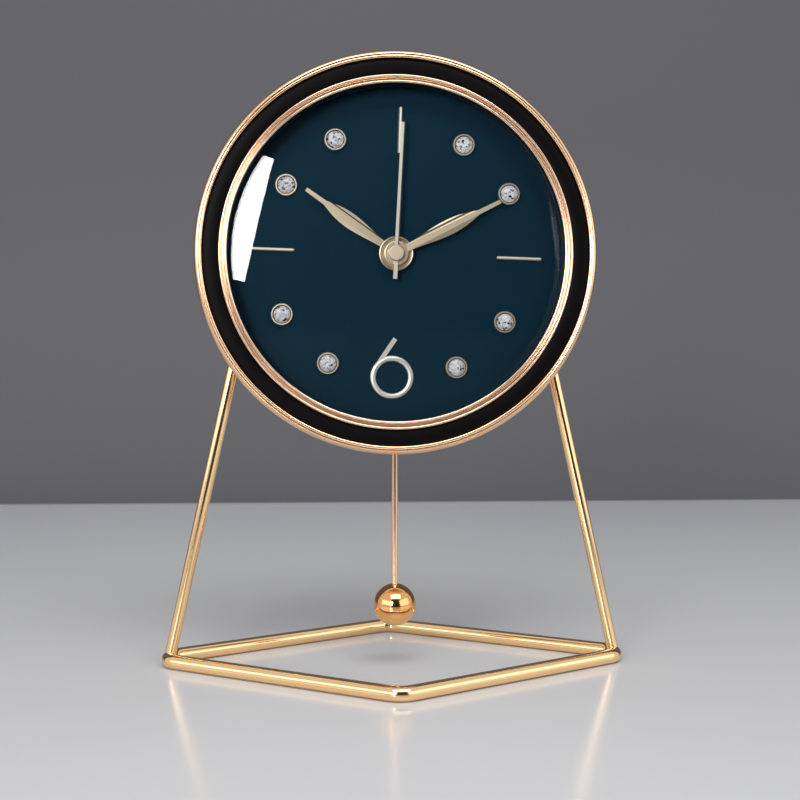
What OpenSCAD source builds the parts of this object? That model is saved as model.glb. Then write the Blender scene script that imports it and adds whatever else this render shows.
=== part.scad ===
// Desk pendulum clock: a round head on a bent rod stand, with a free swinging pendulum.
// Millimetres. The origin is on the floor under the middle of the base, +Z up, the dial faces -Y.

/* [Stand] */
// Half of the width of the base, between the points where its straight runs would cross
base_half_w = 126; // [115:0.5:135]
// Half of the depth of the base, between the points where its straight runs would cross
base_half_d = 75; // [65:0.5:85]
// Diameter of the base rod
base_rod_d = 7.5; // [6.5:0.1:9]
// Centreline radius of the bends at the left and right corners
side_bend_r = 9; // [7:0.5:12]
// Centreline radius of the bends at the front and rear corners
front_bend_r = 12; // [8:0.5:16]
// Diameter of the leg rods
leg_rod_d = 6; // [5:0.1:6.5]
// How far inside the corner's centreline each leg's axis meets the base
leg_foot_inset = 0.3; // [0:0.1:0.6]
// How far inside the rim's radius the top of each leg sits
leg_top_inset = 25.9; // [23.5:0.1:31]
// How far the mounting tabs lie below the centre of the head
tab_drop = 23.4; // [20:0.2:28]
// Length of a mounting tab
tab_len = 28; // [26:0.5:29]
// Height of a mounting tab
tab_h = 11; // [9:0.5:14]
// Thickness of a mounting tab
tab_t = 2; // [1.5:0.1:2.5]
// Distance of a leg screw from the middle of its tab
tab_screw_x = 9; // [8:0.1:9.5]

/* [Head] */
// Height of the centre of the dial above the floor
head_z = 213.4; // [210:0.2:222]
// Depth of the head from the front lip to the back of the rear cover
case_depth = 33; // [32.6:0.1:36]
// Outer radius of the gold rim
rim_r = 101.2; // [98:0.1:104]
// Radial width of the gold rim as seen from the front
rim_face_w = 4.45; // [4:0.05:5.5]
// Radius of the fine bead along the inner edge of the gold rim
rim_bead_r = 0.86; // [0.7:0.02:1]
// Depth over which the rim rounds back from its lip
rim_slope_d = 5.5; // [4.5:0.1:6]
// Depth of the gold rim
rim_len = 9; // [8:0.1:10]
// Wall thickness of the gold rim
rim_wall = 1.2; // [0.8:0.1:1.3]
// Radial width of the black band
band_w = 8; // [7:0.1:9]
// Depth of the edges of the black band behind the lip
band_edge_d = 2.2; // [1.8:0.1:2.4]
// How far the middle of the black band stands in front of its edges
band_rise = 0.9; // [0.4:0.1:1.4]
// Radial width of the inner gold ring
inner_ring_w = 4.1; // [3.8:0.1:5]
// Width of each of the two ridges of the inner gold ring
ridge_w = 1.25; // [1:0.05:1.4]
// Depth of the groove between the ridges
groove_d = 1.1; // [0.6:0.1:1.5]
// Depth of the flange of the inner gold ring
inner_flange_d = 3.5; // [3:0.1:4]
// Depth of the skirt of the inner gold ring, down to the glass
inner_skirt_d = 6; // [5.6:0.1:6.4]
// Wall thickness of the drum
drum_wall = 1.2; // [0.8:0.1:1.6]
// Radial step from the rim in to the drum
drum_step = 0.5; // [0.3:0.1:1]
// Radial width of the flange at the rear of the drum
flange_w = 6.5; // [6:0.1:8]
// Thickness of that flange
flange_t = 1.4; // [1:0.1:1.8]
// Thickness of the rear cover
cover_t = 1.95; // [1.6:0.05:2.4]
// Half width of the window in the rear cover
window_half_w = 33; // [31:0.5:40]
// Corner radius of the window
window_corner_r = 6; // [3:0.5:10]
// How far the window reaches above the centre of the head
window_up = 33; // [31:0.5:40]
// How far the window reaches below the centre of the head
window_down = 70; // [68:0.5:76]
// Number of rear cover screws
cover_screw_n = 4; // [4:1:8]

/* [Glass and dial] */
// Thickness of the glass
glass_t = 2.2; // [1.8:0.1:2.6]
// How far the middle of the glass stands in front of its edge
glass_rise = 5.4; // [4.5:0.1:5.8]
// Thickness of the rubber gasket behind the glass
gasket_t = 1.3; // [1:0.1:1.6]
// Radial width of the gasket
gasket_w = 2.6; // [2:0.1:3]
// Depth of the dark spacer ring between gasket and dial
spacer_t = 2.8; // [2.6:0.1:3.4]
// Radial width of the spacer ring
spacer_w = 3.3; // [2.6:0.1:3.6]
// Thickness of the dial plate
dial_t = 0.8; // [0.6:0.1:1.2]
// How far the dial is turned clockwise in the case, in degrees
dial_turn = 1.9; // [0:0.1:3]
// Thickness of the retaining ring behind the dial
retainer_t = 2; // [1.6:0.1:2.4]
// Radial width of the retaining ring
retainer_w = 14; // [12:0.5:18]
// Number of retaining ring screws
retainer_screw_n = 6; // [4:1:8]

/* [Markers] */
// Radius of the inner end of the bar markers
bar_r0 = 51.3; // [48:0.1:54]
// Radius of the outer end of the bar markers
bar_r1 = 74.5; // [70:0.1:80]
// Width of the bar at twelve
bar12_w = 2.1; // [1.6:0.1:4]
// Height of the bar at twelve
bar12_h = 1.4; // [0.8:0.1:1.6]
// Diameter of the round bars at three and nine
bar_d = 1.7; // [1.2:0.1:2]
// Radius of the circle of crystals
crystal_circle_r = 65.4; // [64:0.1:70]
// Outer diameter of a crystal's cup
cup_d = 11.2; // [10:0.1:12]
// Height of a crystal's cup
cup_h = 1.9; // [1.4:0.1:2]
// Diameter of a crystal
crystal_d = 8.8; // [6:0.1:9]
// Distance of the middle of the numeral's bowl from the centre of the dial
six_r = 62.7; // [60:0.1:65]
// Outer diameter of the numeral's bowl
six_d = 22.1; // [18:0.1:24]
// Width of the numeral's stroke
six_w = 2.9; // [2:0.1:3.5]
// Distance of the top of the numeral from the centre of the dial
six_top_r = 43; // [42:0.1:45]
// How far the top of the numeral leans to the right of its bowl's middle
six_lean = 1.1; // [0:0.1:2]
// Width of the numeral's slanted stroke
six_stem_w = 2.3; // [1.8:0.1:3]
// Height of the numeral above the dial
six_h = 1.4; // [0.8:0.1:1.6]

/* [Hands] */
// Length of the hour hand from its axis
hour_len = 55.7; // [48:0.1:58]
// Length of the minute hand from its axis
minute_len = 59.2; // [52:0.1:70]
// How far the tip of the second hand ends inside the opening of the inner ring
second_gap = 18.45; // [10:0.05:25]
// Length of the second hand's tail
second_tail = 13; // [10:0.1:18]
// Direction of the hour hand, clockwise from the top, in degrees
hour_angle = 305.4; // [0:0.1:360]
// Direction of the minute hand, clockwise from the top, in degrees
minute_angle = 63.4; // [0:0.1:360]
// Direction of the second hand, clockwise from the top, in degrees
second_angle = 3; // [0:0.1:360]
// Full width of the hour and minute hands where their leaves are widest
leaf_w = 8; // [6:0.1:9]
// Width of the hands' middle strip at the hub
strip_w0 = 3.8; // [3:0.1:4.5]
// Width of the hands' middle strip at the tip
strip_w1 = 1.9; // [1.4:0.1:2.4]
// Where the leaves end, as a share of the hand's length
leaf_reach = 0.79; // [0.7:0.01:0.9]
// Slope of the leaves, in degrees
leaf_tilt = 14; // [5:1:16]
// Thickness of the hands
hand_t = 0.6; // [0.4:0.05:0.7]
// Width of the second hand
second_w = 2.1; // [1:0.1:2.4]
// Diameter of the disc at the centre of the hour hand
hour_hub_d = 17.6; // [15:0.1:20]
// Diameter of the boss of the minute hand
minute_hub_d = 12.4; // [10:0.1:14]
// Diameter of the cap of the second hand
second_cap_d = 8.3; // [7:0.1:9.5]

/* [Movement] */
// Half width of the movement
mov_half_w = 28.5; // [28.2:0.1:30]
// Distance of the top of the movement above the hand axis
mov_up = 28; // [27.5:0.1:30]
// Distance of the bottom of the movement below the hand axis
mov_down = 30; // [29.6:0.1:32]
// Wall thickness of the movement housing
mov_wall = 1.4; // [1:0.1:1.6]
// Thickness of the movement's front plate
mov_plate_t = 1.6; // [1.4:0.1:1.7]
// Height of the open space behind the movement's front plate
mov_room = 12; // [12:0.1:12.6]
// Thickness of the movement's rear lid
lid_t = 1.55; // [1.2:0.05:1.7]
// Thickness of the rubber washer between dial and movement
rubber_t = 0.5; // [0.4:0.05:0.8]
// Radius of the threaded neck that passes through the dial
neck_r = 4; // [3.6:0.1:4.6]
// Thickness of the brass washer in front of the dial
washer_t = 0.6; // [0.4:0.05:0.7]
// Thickness of the nut on the neck
nut_t = 1.5; // [1.2:0.1:1.6]
// Width of the nut across its corners
nut_d = 12.4; // [11:0.1:14]
// Diameter of the battery
battery_d = 14.2; // [13.8:0.1:14.5]
// Length of the battery with its button
battery_len = 50.4; // [49.5:0.1:50.5]
// Diameter of the setting knob
knob_d = 10; // [8:0.1:12]
// Height of the setting knob
knob_h = 1.9; // [1.5:0.1:2]

/* [Gear train] */
// Tooth size of the seconds wheel, its pinions and the wheels that drive it
train_mod = 0.36; // [0.33:0.005:0.365]
// Tooth size of the motion work that carries the hour hand
motion_mod = 0.5; // [0.45:0.01:0.52]
// Thickness of the wheels in the train
wheel_t = 0.8; // [0.5:0.05:0.9]
// Tooth thickness as a share of the tooth pitch
tooth_share = 0.4; // [0.3:0.01:0.42]
// Radius of the train's steel arbors
arbor_r = 0.5; // [0.4:0.05:0.6]
// Radius of the rotor magnet
magnet_r = 2.6; // [2:0.1:2.6]

/* [Pendulum] */
// Distance of the pendulum's pivot below the hand axis
pivot_drop = 34.5; // [34.5:0.1:38]
// Height of the middle of the bob above the floor
bob_z = 33; // [28:0.5:60]
// Diameter of the bob
bob_d = 21.7; // [16:0.1:28]
// Diameter of the pendulum rod
rod_d = 3.2; // [2.5:0.1:4]
// Depth of the rod's centre behind the front lip
rod_depth = 25; // [24.6:0.1:25.4]
// Largest swing to each side, in degrees
swing = 8; // [5:0.5:9]
// Distance of the hook below the pivot
hook_drop = 30; // [29:0.5:32]
// Radius of the pivot pin
pin_r = 0.75; // [0.6:0.05:1]
// Half width of the pendulum housing
house_half_w = 20; // [18:0.5:26]
// Height of the pendulum housing
house_h = 31; // [30:0.5:31]

/* [Fits] */
// Gap between parts that are fitted together and do not turn
fit = 0.1; // [0.05:0.01:0.15]
// Radial gap of shafts that turn in their bores
run = 0.05; // [0.03:0.01:0.08]

/* [Hidden] */
gold = "#d9b26a";
rose = "#dcb08c";
black = "#1b1b1d";
brass = "#c8a24c";
steel = "#b9bcc0";
copper = "#b8713c";

// Stand
side_angle = atan2(base_half_d, base_half_w);
side_bend_x = base_half_w - side_bend_r / sin(side_angle);
side_cut = side_bend_r / tan(side_angle);
front_bend_y = base_half_d - front_bend_r / cos(side_angle);
front_cut = front_bend_r * tan(side_angle);
base_z = base_rod_d / 2;
seam_step = 0.02;
seam_reach = 0.3;
leg_foot_x = side_bend_x + side_bend_r - leg_foot_inset;
leg_top_x = rim_r - leg_top_inset;
tab_z = head_z - tab_drop;
leg_top_z = tab_z + tab_h / 2;

// Head: depths are measured back from the front lip, radii from the hand axis
back_y = -leg_rod_d / 2 - run;
front_y = back_y - case_depth;
rim_in_r = rim_r - rim_face_w;
band_r1 = rim_in_r - fit;
band_r0 = band_r1 - band_w;
inner_ring_r = band_r0 - fit;
opening_r = inner_ring_r - inner_ring_w;
skirt_w = 2;
drum_r = rim_r - drum_step;
frame_r = drum_r - drum_wall - fit;
bore_r = band_r0 - 0.45;
seat_r = bore_r - fit;
glass_edge_d = inner_skirt_d + fit + glass_rise * (1 - pow(opening_r / seat_r, 2));
gasket_d = glass_edge_d + glass_t + fit;
spacer_d = gasket_d + gasket_t + fit / 2;
dial_d = spacer_d + spacer_t + fit / 2;
dial_back_d = dial_d + dial_t;
frame_back_d = dial_back_d + fit;
retainer_back_d = frame_back_d + retainer_t;
cover_d = case_depth - cover_t;
flange_r = drum_r - drum_wall - flange_w;
cover_inset = 0.3;
cover_r = drum_r - cover_inset;
cover_screw_r = flange_r + flange_w / 2;
retainer_screw_r = (bore_r + frame_r) / 2;
small_screw_r = 1.25;
screw_r = 1.45;
leg_screw_r = 2.7;
leg_boss_r = 3.2;
leg_boss_h = 5;

// Movement
mov_d = dial_back_d + rubber_t + fit;
room_d = mov_d + mov_plate_t;
lid_d = room_d + mov_room + fit / 2;
washer_d = dial_d - fit / 2 - washer_t;
nut_front_d = washer_d - fit / 2 - nut_t;
bay_y = 12;
bay_wall = 0.8;
battery_y = bay_y + bay_wall + battery_d / 2 + 0.7;
battery_d0 = room_d + battery_d / 2 - 0.8;
contact_t = 0.5;
plus_x = mov_half_w - mov_wall - fit / 2 - contact_t;

// Hand axis: the second arbor runs inside the minute tube, which runs inside the hour tube
second_arbor_r = 0.6;
minute_tube_r = second_arbor_r + run + 0.95;
hour_tube_r = minute_tube_r + run + 0.95;
hour_hand_d = nut_front_d - 0.3 - hand_t;
hour_hub_front_d = hour_hand_d - 0.9;
minute_hand_d = hour_hub_front_d - 0.3 - hand_t;
minute_hub_front_d = minute_hand_d - 0.6;
second_hand_d = minute_hub_front_d - 0.4 - hand_t;
second_cap_front_d = second_hand_d - 1;
second_len = opening_r - second_gap;

// Gear depths behind the front plate, in the order in which the wheels lie
hour_wheel_drop = 0.6;
cannon_drop = 1.6;
centre_wheel_drop = 4.8;
third_wheel_drop = 7;
second_wheel_drop = 8.8;
inter_wheel_drop = 10.3;
pinion_lead = 0.2;
thin_pinion_lead = 0.3;
hour_wheel_d = room_d + hour_wheel_drop;
minute_pinion_d = hour_wheel_d - pinion_lead;
cannon_d = hour_wheel_d + cannon_drop;
centre_wheel_d = room_d + centre_wheel_drop;
third_pinion_d = centre_wheel_d - pinion_lead;
third_wheel_d = room_d + third_wheel_drop;
second_pinion_d = third_wheel_d - thin_pinion_lead;
second_wheel_d = room_d + second_wheel_drop;
inter_pinion_d = second_wheel_d - thin_pinion_lead;
inter_wheel_d = room_d + inter_wheel_drop;
rotor_pinion_d = inter_wheel_d - pinion_lead;
pinion_t = wheel_t + 0.6;
lid_bearing_d = lid_d + 0.75;
plate_bearing_d = room_d - 0.9;

// Teeth, and the tooth size of the pair that shares the seconds train's centre distance
second_pinion_n = 8;
third_wheel_n = 60;
third_pinion_n = 8;
centre_wheel_n = 64;
inter_pinion_n = 10;
second_wheel_n = 60;
rotor_pinion_n = 12;
inter_wheel_n = 60;
cannon_n = 10;
minute_wheel_n = 30;
minute_pinion_n = 8;
hour_wheel_n = 32;
setting_pinion_n = 12;
third_reach = train_mod * (second_pinion_n + third_wheel_n) / 2;
centre_mod = 2 * third_reach / (third_pinion_n + centre_wheel_n);
inter_reach = train_mod * (inter_pinion_n + second_wheel_n) / 2;
rotor_reach = train_mod * (rotor_pinion_n + inter_wheel_n) / 2;
minute_reach = motion_mod * (cannon_n + minute_wheel_n) / 2;
setting_reach = motion_mod * (minute_wheel_n + setting_pinion_n) / 2;

// Directions from one arbor to the next, clockwise from the right, and the arbors' places
third_dir = 200;
inter_dir = -45;
rotor_dir = 202;
minute_dir = 15;
setting_dir = 31;
third_at = third_reach * [cos(third_dir), sin(third_dir)];
inter_at = inter_reach * [cos(inter_dir), sin(inter_dir)];
rotor_at = inter_at + rotor_reach * [cos(rotor_dir), sin(rotor_dir)];
minute_at = minute_reach * [cos(minute_dir), sin(minute_dir)];
setting_at = minute_at + setting_reach * [cos(setting_dir), sin(setting_dir)];

// Angle of a driven wheel's first tooth, so that it meshes with its driver at rest
function frac(x) = x - floor(x);
function in_mesh(phase, teeth, dir, driven_teeth) =
    dir + 180 + (frac((dir - phase) * teeth / 360) + 0.5) * 360 / driven_teeth;
third_phase = in_mesh(0, second_pinion_n, third_dir, third_wheel_n);
centre_phase = in_mesh(0, third_pinion_n, third_dir + 180, centre_wheel_n);
inter_phase = in_mesh(0, second_wheel_n, inter_dir, inter_pinion_n);
rotor_phase = in_mesh(0, inter_wheel_n, rotor_dir, rotor_pinion_n);
minute_phase = in_mesh(0, cannon_n, minute_dir, minute_wheel_n);
hour_phase = in_mesh(0, minute_pinion_n, minute_dir + 180, hour_wheel_n);
setting_phase = in_mesh(minute_phase, minute_wheel_n, setting_dir, setting_pinion_n);

// Stones and their cups: each stone stands a little proud of its cup
cup_floor = 0.6;
cup_lip = 0.35;
cup_bevel = 0.8;
crown_h = 1;

// Screws of the rear cover and of the retaining ring
screw_head_h = 1.6;
cover_screw_head_r = 2.8;
cover_screw_bite = 2.5;
retainer_screw_bite = 4;
crown_proud = 0.4;

// Electric drive of the train
stator_d = room_d + 3.2;
stator_t = 1;
coil_drop = 8.7;
coil_y = rotor_at[1] - coil_drop;
coil_r = 3.5;
coil_half = 11;
core_w = 3;
yoke_w = 3.6;
yoke_over = 4.6;
stator_bar_w = 6;
board_d = room_d + 9.6;
board_t = 1;

// Pendulum: its drive box hangs under the movement
house_y = mov_down + fit;
house_d = room_d - 0.1;
house_back_d = lid_d + lid_t - 0.4;
house_wall = 1.4;
hook_y = pivot_drop + hook_drop;
arm_d = rod_depth - 3.4;
arm_t = 2;
magnet_y = pivot_drop + 15.5;
rod_r = rod_d / 2;
slot_half_w = (drum_r - pivot_drop) * tan(swing) + rod_r + 2.2;
slot_d0 = rod_depth - rod_r - 2.6;
slot_d1 = min(rod_depth + rod_r + 2.6, cover_d - flange_t - 0.3);
bob_hole = 6;

// Local frame of the head: Z runs back from the lip, Y runs down, X stays to the right
module face(depth = 0) {
    translate([0, front_y, head_z])
        rotate([-90, 0, 0])
            translate([0, 0, depth])
                children();
}

module disc(r, depth, t, hole = 0, sides = 96) {
    face(depth)
        difference() {
            cylinder(r = r, h = t, $fn = sides);
            if (hole > 0)
                translate([0, 0, -1])
                    cylinder(r = hole, h = t + 2, $fn = 48);
        }
}

function bow(cx, cy, rx, ry, a0, a1, n) =
    [for (i = [0 : n]) let (a = a0 + (a1 - a0) * i / n) [cx + rx * cos(a), cy + ry * sin(a)]];

// A rod from one point to another
module rod(from, to, d) {
    along = to - from;
    translate(from)
        rotate([0, acos(along[2] / norm(along)), atan2(along[1], along[0])])
            cylinder(d = d, h = norm(along), $fn = 48);
}

// Gear with straight flanked teeth, first tooth on the X axis
module gear(teeth, mod, t, phase) {
    r = teeth * mod / 2;
    pitch = 360 / teeth;
    tip = r + 0.85 * mod;
    root = r - 1.2 * mod;
    tip_a = pitch * tooth_share * 0.26;
    root_a = pitch * tooth_share * 0.62;
    rotate([0, 0, phase])
        linear_extrude(height = t)
            polygon([for (i = [0 : teeth - 1]) let (a = i * pitch)
                each [root * [cos(a - root_a), sin(a - root_a)],
                      tip * [cos(a - tip_a), sin(a - tip_a)],
                      tip * [cos(a + tip_a), sin(a + tip_a)],
                      root * [cos(a + root_a), sin(a + root_a)]]]);
}

module pan_screw(head_r, head_h, shank_r, shank_l) {
    difference() {
        union() {
            cylinder(r = head_r, h = head_h, $fn = 32);
            translate([0, 0, -shank_l])
                cylinder(r = shank_r, h = shank_l, $fn = 32);
        }
        translate([-head_r * 0.62, -0.3, head_h - 0.7])
            cube([head_r * 1.24, 0.6, 1]);
        translate([-0.3, -head_r * 0.62, head_h - 0.7])
            cube([0.6, head_r * 1.24, 1]);
    }
}

// Stand

// One straight run of the base. It is a hair thinner than the bends and reaches into both
module base_run(sx, sy) {
    side = [sx * base_half_w, 0, base_z];
    apex = [0, sy * base_half_d, base_z];
    along = (apex - side) / norm(apex - side);
    rod(side + along * (side_cut - seam_reach), apex - along * (front_cut - seam_reach),
        base_rod_d - 2 * seam_step);
}

module base_side_bend(sx, d) {
    turn = 180 - 2 * side_angle;
    translate([sx * side_bend_x, 0, base_z])
        rotate([0, 0, sx > 0 ? -turn / 2 : 180 - turn / 2])
            rotate_extrude(angle = turn, $fn = 96)
                translate([side_bend_r, 0])
                    circle(d = d, $fn = 48);
}

module base_front_bend(sy, d) {
    translate([0, sy * front_bend_y, base_z])
        rotate([0, 0, sy * 90 - side_angle])
            rotate_extrude(angle = 2 * side_angle, $fn = 96)
                translate([front_bend_r, 0])
                    circle(d = d, $fn = 48);
}

module base_frame() {
    color(gold)
        union() {
            for (sy = [-1, 1]) {
                for (sx = [-1, 1])
                    base_run(sx, sy);
                base_front_bend(sy, base_rod_d);
            }
            for (sx = [-1, 1])
                base_side_bend(sx, base_rod_d);
        }
}

// A leg stands on the bend of the base and ends in a tab that is screwed to the rear cover
module leg(side) {
    color(gold)
        difference() {
            union() {
                rod([side * leg_foot_x, 0, base_z], [side * leg_top_x, 0, leg_top_z], leg_rod_d);
                translate([side * leg_top_x, back_y, tab_z])
                    rotate([-90, 0, 0])
                        linear_extrude(height = tab_t)
                            union() {
                                for (sx = [-1, 1])
                                    translate([sx * (tab_len - tab_h) / 2, 0])
                                        circle(d = tab_h, $fn = 48);
                                square([tab_len - tab_h, tab_h], center = true);
                            }
            }
            for (sx = [-1, 1])
                translate([side * leg_top_x + sx * tab_screw_x, back_y - 1, tab_z])
                    rotate([-90, 0, 0])
                        cylinder(r = screw_r + fit, h = tab_t + 2, $fn = 32);
            for (sx = [-1, 1])
                translate([side * leg_top_x + sx * tab_screw_x, back_y + tab_t, tab_z])
                    rotate([-90, 0, 0])
                        cylinder(r = leg_screw_r + fit, h = 8, $fn = 32);
            base_side_bend(side, base_rod_d + 2 * run);
        }
}

module left_leg() {
    leg(-1);
}

module right_leg() {
    leg(1);
}

module leg_screws() {
    color(steel)
        for (side = [-1, 1], sx = [-1, 1])
            translate([side * leg_top_x + sx * tab_screw_x, back_y + tab_t, tab_z])
                rotate([-90, 0, 0])
                    pan_screw(leg_screw_r, 1.8, screw_r, tab_t + cover_t + leg_boss_h - 1);
}

// Case

module outer_rim() {
    start = 75;
    dip = rim_slope_d * (1 - sin(start));
    bead_end = 360 + asin(dip / rim_bead_r - 1);
    valley_r = rim_in_r + rim_bead_r * (1 + cos(bead_end));
    slope_w = (rim_r - valley_r) / (1 + cos(start));
    color(rose)
        face()
            rotate_extrude($fn = 180)
                polygon(concat(
                    [[rim_in_r, band_edge_d + 0.4]],
                    bow(rim_in_r + rim_bead_r, rim_bead_r, rim_bead_r, rim_bead_r, 180, bead_end, 7),
                    bow(rim_r - slope_w, rim_slope_d, slope_w, rim_slope_d, 264, 360, 10),
                    [[rim_r, rim_len],
                     [rim_r - rim_wall, rim_len],
                     [rim_r - rim_wall, rim_slope_d + 1],
                     [rim_in_r + 1.1, band_edge_d + 1.2]]));
}

module front_frame() {
    mid = (band_r0 + band_r1) / 2;
    color(black)
        face()
            difference() {
                rotate_extrude($fn = 180)
                    polygon(concat(
                        bow(mid, band_edge_d, band_w / 2, band_rise, 180, 360, 12),
                        [[band_r1, band_edge_d + 2],
                         [frame_r, band_edge_d + 4.8],
                         [frame_r, frame_back_d],
                         [bore_r, frame_back_d],
                         [bore_r, inner_skirt_d],
                         [opening_r + skirt_w + fit, inner_skirt_d],
                         [opening_r + skirt_w + fit, inner_flange_d + fit],
                         [band_r0, inner_flange_d + fit]]));
                for (i = [0 : retainer_screw_n - 1])
                    rotate([0, 0, (i + 0.5) * 360 / retainer_screw_n])
                        translate([retainer_screw_r, 0, frame_back_d - 4.2])
                            cylinder(r = small_screw_r + fit, h = 5, $fn = 24);
            }
}

module inner_ring() {
    r1 = inner_ring_r;
    color(rose)
        face()
            rotate_extrude($fn = 180)
                polygon(concat(
                    [[opening_r, inner_skirt_d]],
                    bow(opening_r + ridge_w / 2, ridge_w / 2, ridge_w / 2, ridge_w / 2, 180, 360, 8),
                    bow((opening_r + r1) / 2, ridge_w / 2, inner_ring_w / 2 - ridge_w, groove_d,
                        180, 0, 8),
                    bow(r1 - ridge_w / 2, ridge_w / 2, ridge_w / 2, ridge_w / 2, 180, 360, 8),
                    [[r1, inner_flange_d],
                     [opening_r + skirt_w, inner_flange_d],
                     [opening_r + skirt_w, inner_skirt_d]]));
}

module glass() {
    dome_r = (seat_r * seat_r + glass_rise * glass_rise) / (2 * glass_rise);
    half = asin(seat_r / dome_r);
    in_r = dome_r - glass_t;
    in_half = asin((seat_r - gasket_w / 2) / dome_r);
    edge_d = glass_edge_d;
    color("#dfe8ea", 0.3)
        face()
            rotate_extrude($fn = 180)
                polygon(concat(
                    [for (i = [0 : 14]) let (a = half * i / 14)
                        [dome_r * sin(a), edge_d - glass_rise + dome_r * (1 - cos(a))]],
                    [[seat_r, edge_d + glass_t]],
                    [for (i = [14 : -1 : 0]) let (a = in_half * i / 14)
                        [in_r * sin(a), edge_d - glass_rise + glass_t + in_r * (1 - cos(a))]]));
}

module ring(r0, r1, depth, t) {
    face(depth)
        rotate_extrude($fn = 180)
            translate([r0, 0])
                square([r1 - r0, t]);
}

module glass_gasket() {
    color("#202022")
        ring(seat_r - gasket_w, seat_r, gasket_d, gasket_t);
}

module spacer_ring() {
    color("#18242c")
        ring(seat_r - spacer_w, seat_r, spacer_d, spacer_t);
}

module dial() {
    color("#11283a")
        disc(seat_r, dial_d, dial_t, neck_r + fit, 180);
}

module retainer_ring() {
    color(black)
        face(frame_back_d)
            difference() {
                rotate_extrude($fn = 120)
                    translate([frame_r - 1 - retainer_w, 0])
                        square([retainer_w, retainer_t]);
                for (i = [0 : retainer_screw_n - 1])
                    rotate([0, 0, (i + 0.5) * 360 / retainer_screw_n])
                        translate([retainer_screw_r, 0, -1])
                            cylinder(r = small_screw_r + fit, h = retainer_t + 2, $fn = 24);
            }
}

module retainer_screws() {
    color(steel)
        for (i = [0 : retainer_screw_n - 1])
            face(retainer_back_d)
                rotate([0, 0, (i + 0.5) * 360 / retainer_screw_n])
                    translate([retainer_screw_r, 0, 0])
                        pan_screw(2 * small_screw_r, screw_head_h, small_screw_r,
                                  retainer_t + retainer_screw_bite);
}

module case_drum() {
    color(rose)
        face()
            difference() {
                rotate_extrude($fn = 180)
                    polygon([[drum_r, rim_len + fit],
                             [drum_r, cover_d - fit / 2],
                             [flange_r, cover_d - fit / 2],
                             [flange_r, cover_d - flange_t],
                             [drum_r - drum_wall, cover_d - flange_t],
                             [drum_r - drum_wall, rim_len + fit]]);
                translate([-slot_half_w, drum_r - 10, slot_d0])
                    cube([2 * slot_half_w, 20, slot_d1 - slot_d0]);
                for (i = [0 : cover_screw_n - 1])
                    rotate([0, 0, (i + 0.5) * 360 / cover_screw_n])
                        translate([cover_screw_r, 0, cover_d - flange_t - 1])
                            cylinder(r = screw_r + fit, h = flange_t + 3, $fn = 24);
            }
}

module window() {
    h = window_up + window_down;
    c = window_corner_r;
    translate([0, (window_down - window_up) / 2])
        union() {
            square([2 * window_half_w - 2 * c, h], center = true);
            square([2 * window_half_w, h - 2 * c], center = true);
            for (sx = [-1, 1], sy = [-1, 1])
                translate([sx * (window_half_w - c), sy * (h / 2 - c)])
                    circle(r = c, $fn = 48);
        }
}

module back_cover() {
    color(black)
        face(cover_d)
            difference() {
                union() {
                    cylinder(r = cover_r, h = cover_t, $fn = 180);
                    for (side = [-1, 1], sx = [-1, 1])
                        translate([side * leg_top_x + sx * tab_screw_x, tab_drop, -leg_boss_h])
                            cylinder(r = leg_boss_r, h = leg_boss_h + 1, $fn = 32);
                }
                translate([0, 0, -1])
                    linear_extrude(height = cover_t + 2)
                        window();
                for (side = [-1, 1], sx = [-1, 1])
                    translate([side * leg_top_x + sx * tab_screw_x, tab_drop, -leg_boss_h + 0.8])
                        cylinder(r = screw_r + fit, h = cover_t + leg_boss_h + 2, $fn = 32);
                for (i = [0 : cover_screw_n - 1])
                    rotate([0, 0, (i + 0.5) * 360 / cover_screw_n])
                        translate([cover_screw_r, 0, -1])
                            cylinder(r = screw_r + fit, h = cover_t + 2, $fn = 24);
            }
}

module cover_screws() {
    color(steel)
        for (i = [0 : cover_screw_n - 1])
            face(case_depth)
                rotate([0, 0, (i + 0.5) * 360 / cover_screw_n])
                    translate([cover_screw_r, 0, 0])
                        pan_screw(cover_screw_head_r, screw_head_h, screw_r,
                                  cover_t + flange_t + cover_screw_bite);
}

// Dial furniture: each stands on the dial, turned with it

module on_dial(hour, r) {
    face(dial_d)
        rotate([0, 0, dial_turn + hour * 30])
            translate([0, -r, 0])
                children();
}

module marker_12() {
    w = bar12_w / 2;
    h = bar12_h;
    color(rose)
        on_dial(0, bar_r0)
            rotate([90, 0, 0])
                linear_extrude(height = bar_r1 - bar_r0)
                    polygon([[-w, 0], [-w, -h * 0.35], [-w * 0.45, -h], [w * 0.45, -h],
                             [w, -h * 0.35], [w, 0]]);
}

// A round bar with round ends, on two short feet
module round_bar(hour) {
    r = bar_d / 2;
    foot_in = 3;
    color(rose)
        on_dial(hour, 0)
            union() {
                translate([0, -bar_r0, -r])
                    rotate([90, 0, 0])
                        rotate_extrude($fn = 32)
                            polygon(concat(
                                bow(0, r, r, r, -90, 0, 4),
                                bow(0, bar_r1 - bar_r0 - r, r, r, 0, 90, 4)));
                for (foot = [bar_r0 + foot_in, bar_r1 - foot_in])
                    translate([0, -foot, -r])
                        cylinder(r = r * 0.7, h = r, $fn = 24);
            }
}

module marker_3() {
    round_bar(3);
}

module marker_9() {
    round_bar(9);
}

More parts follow.
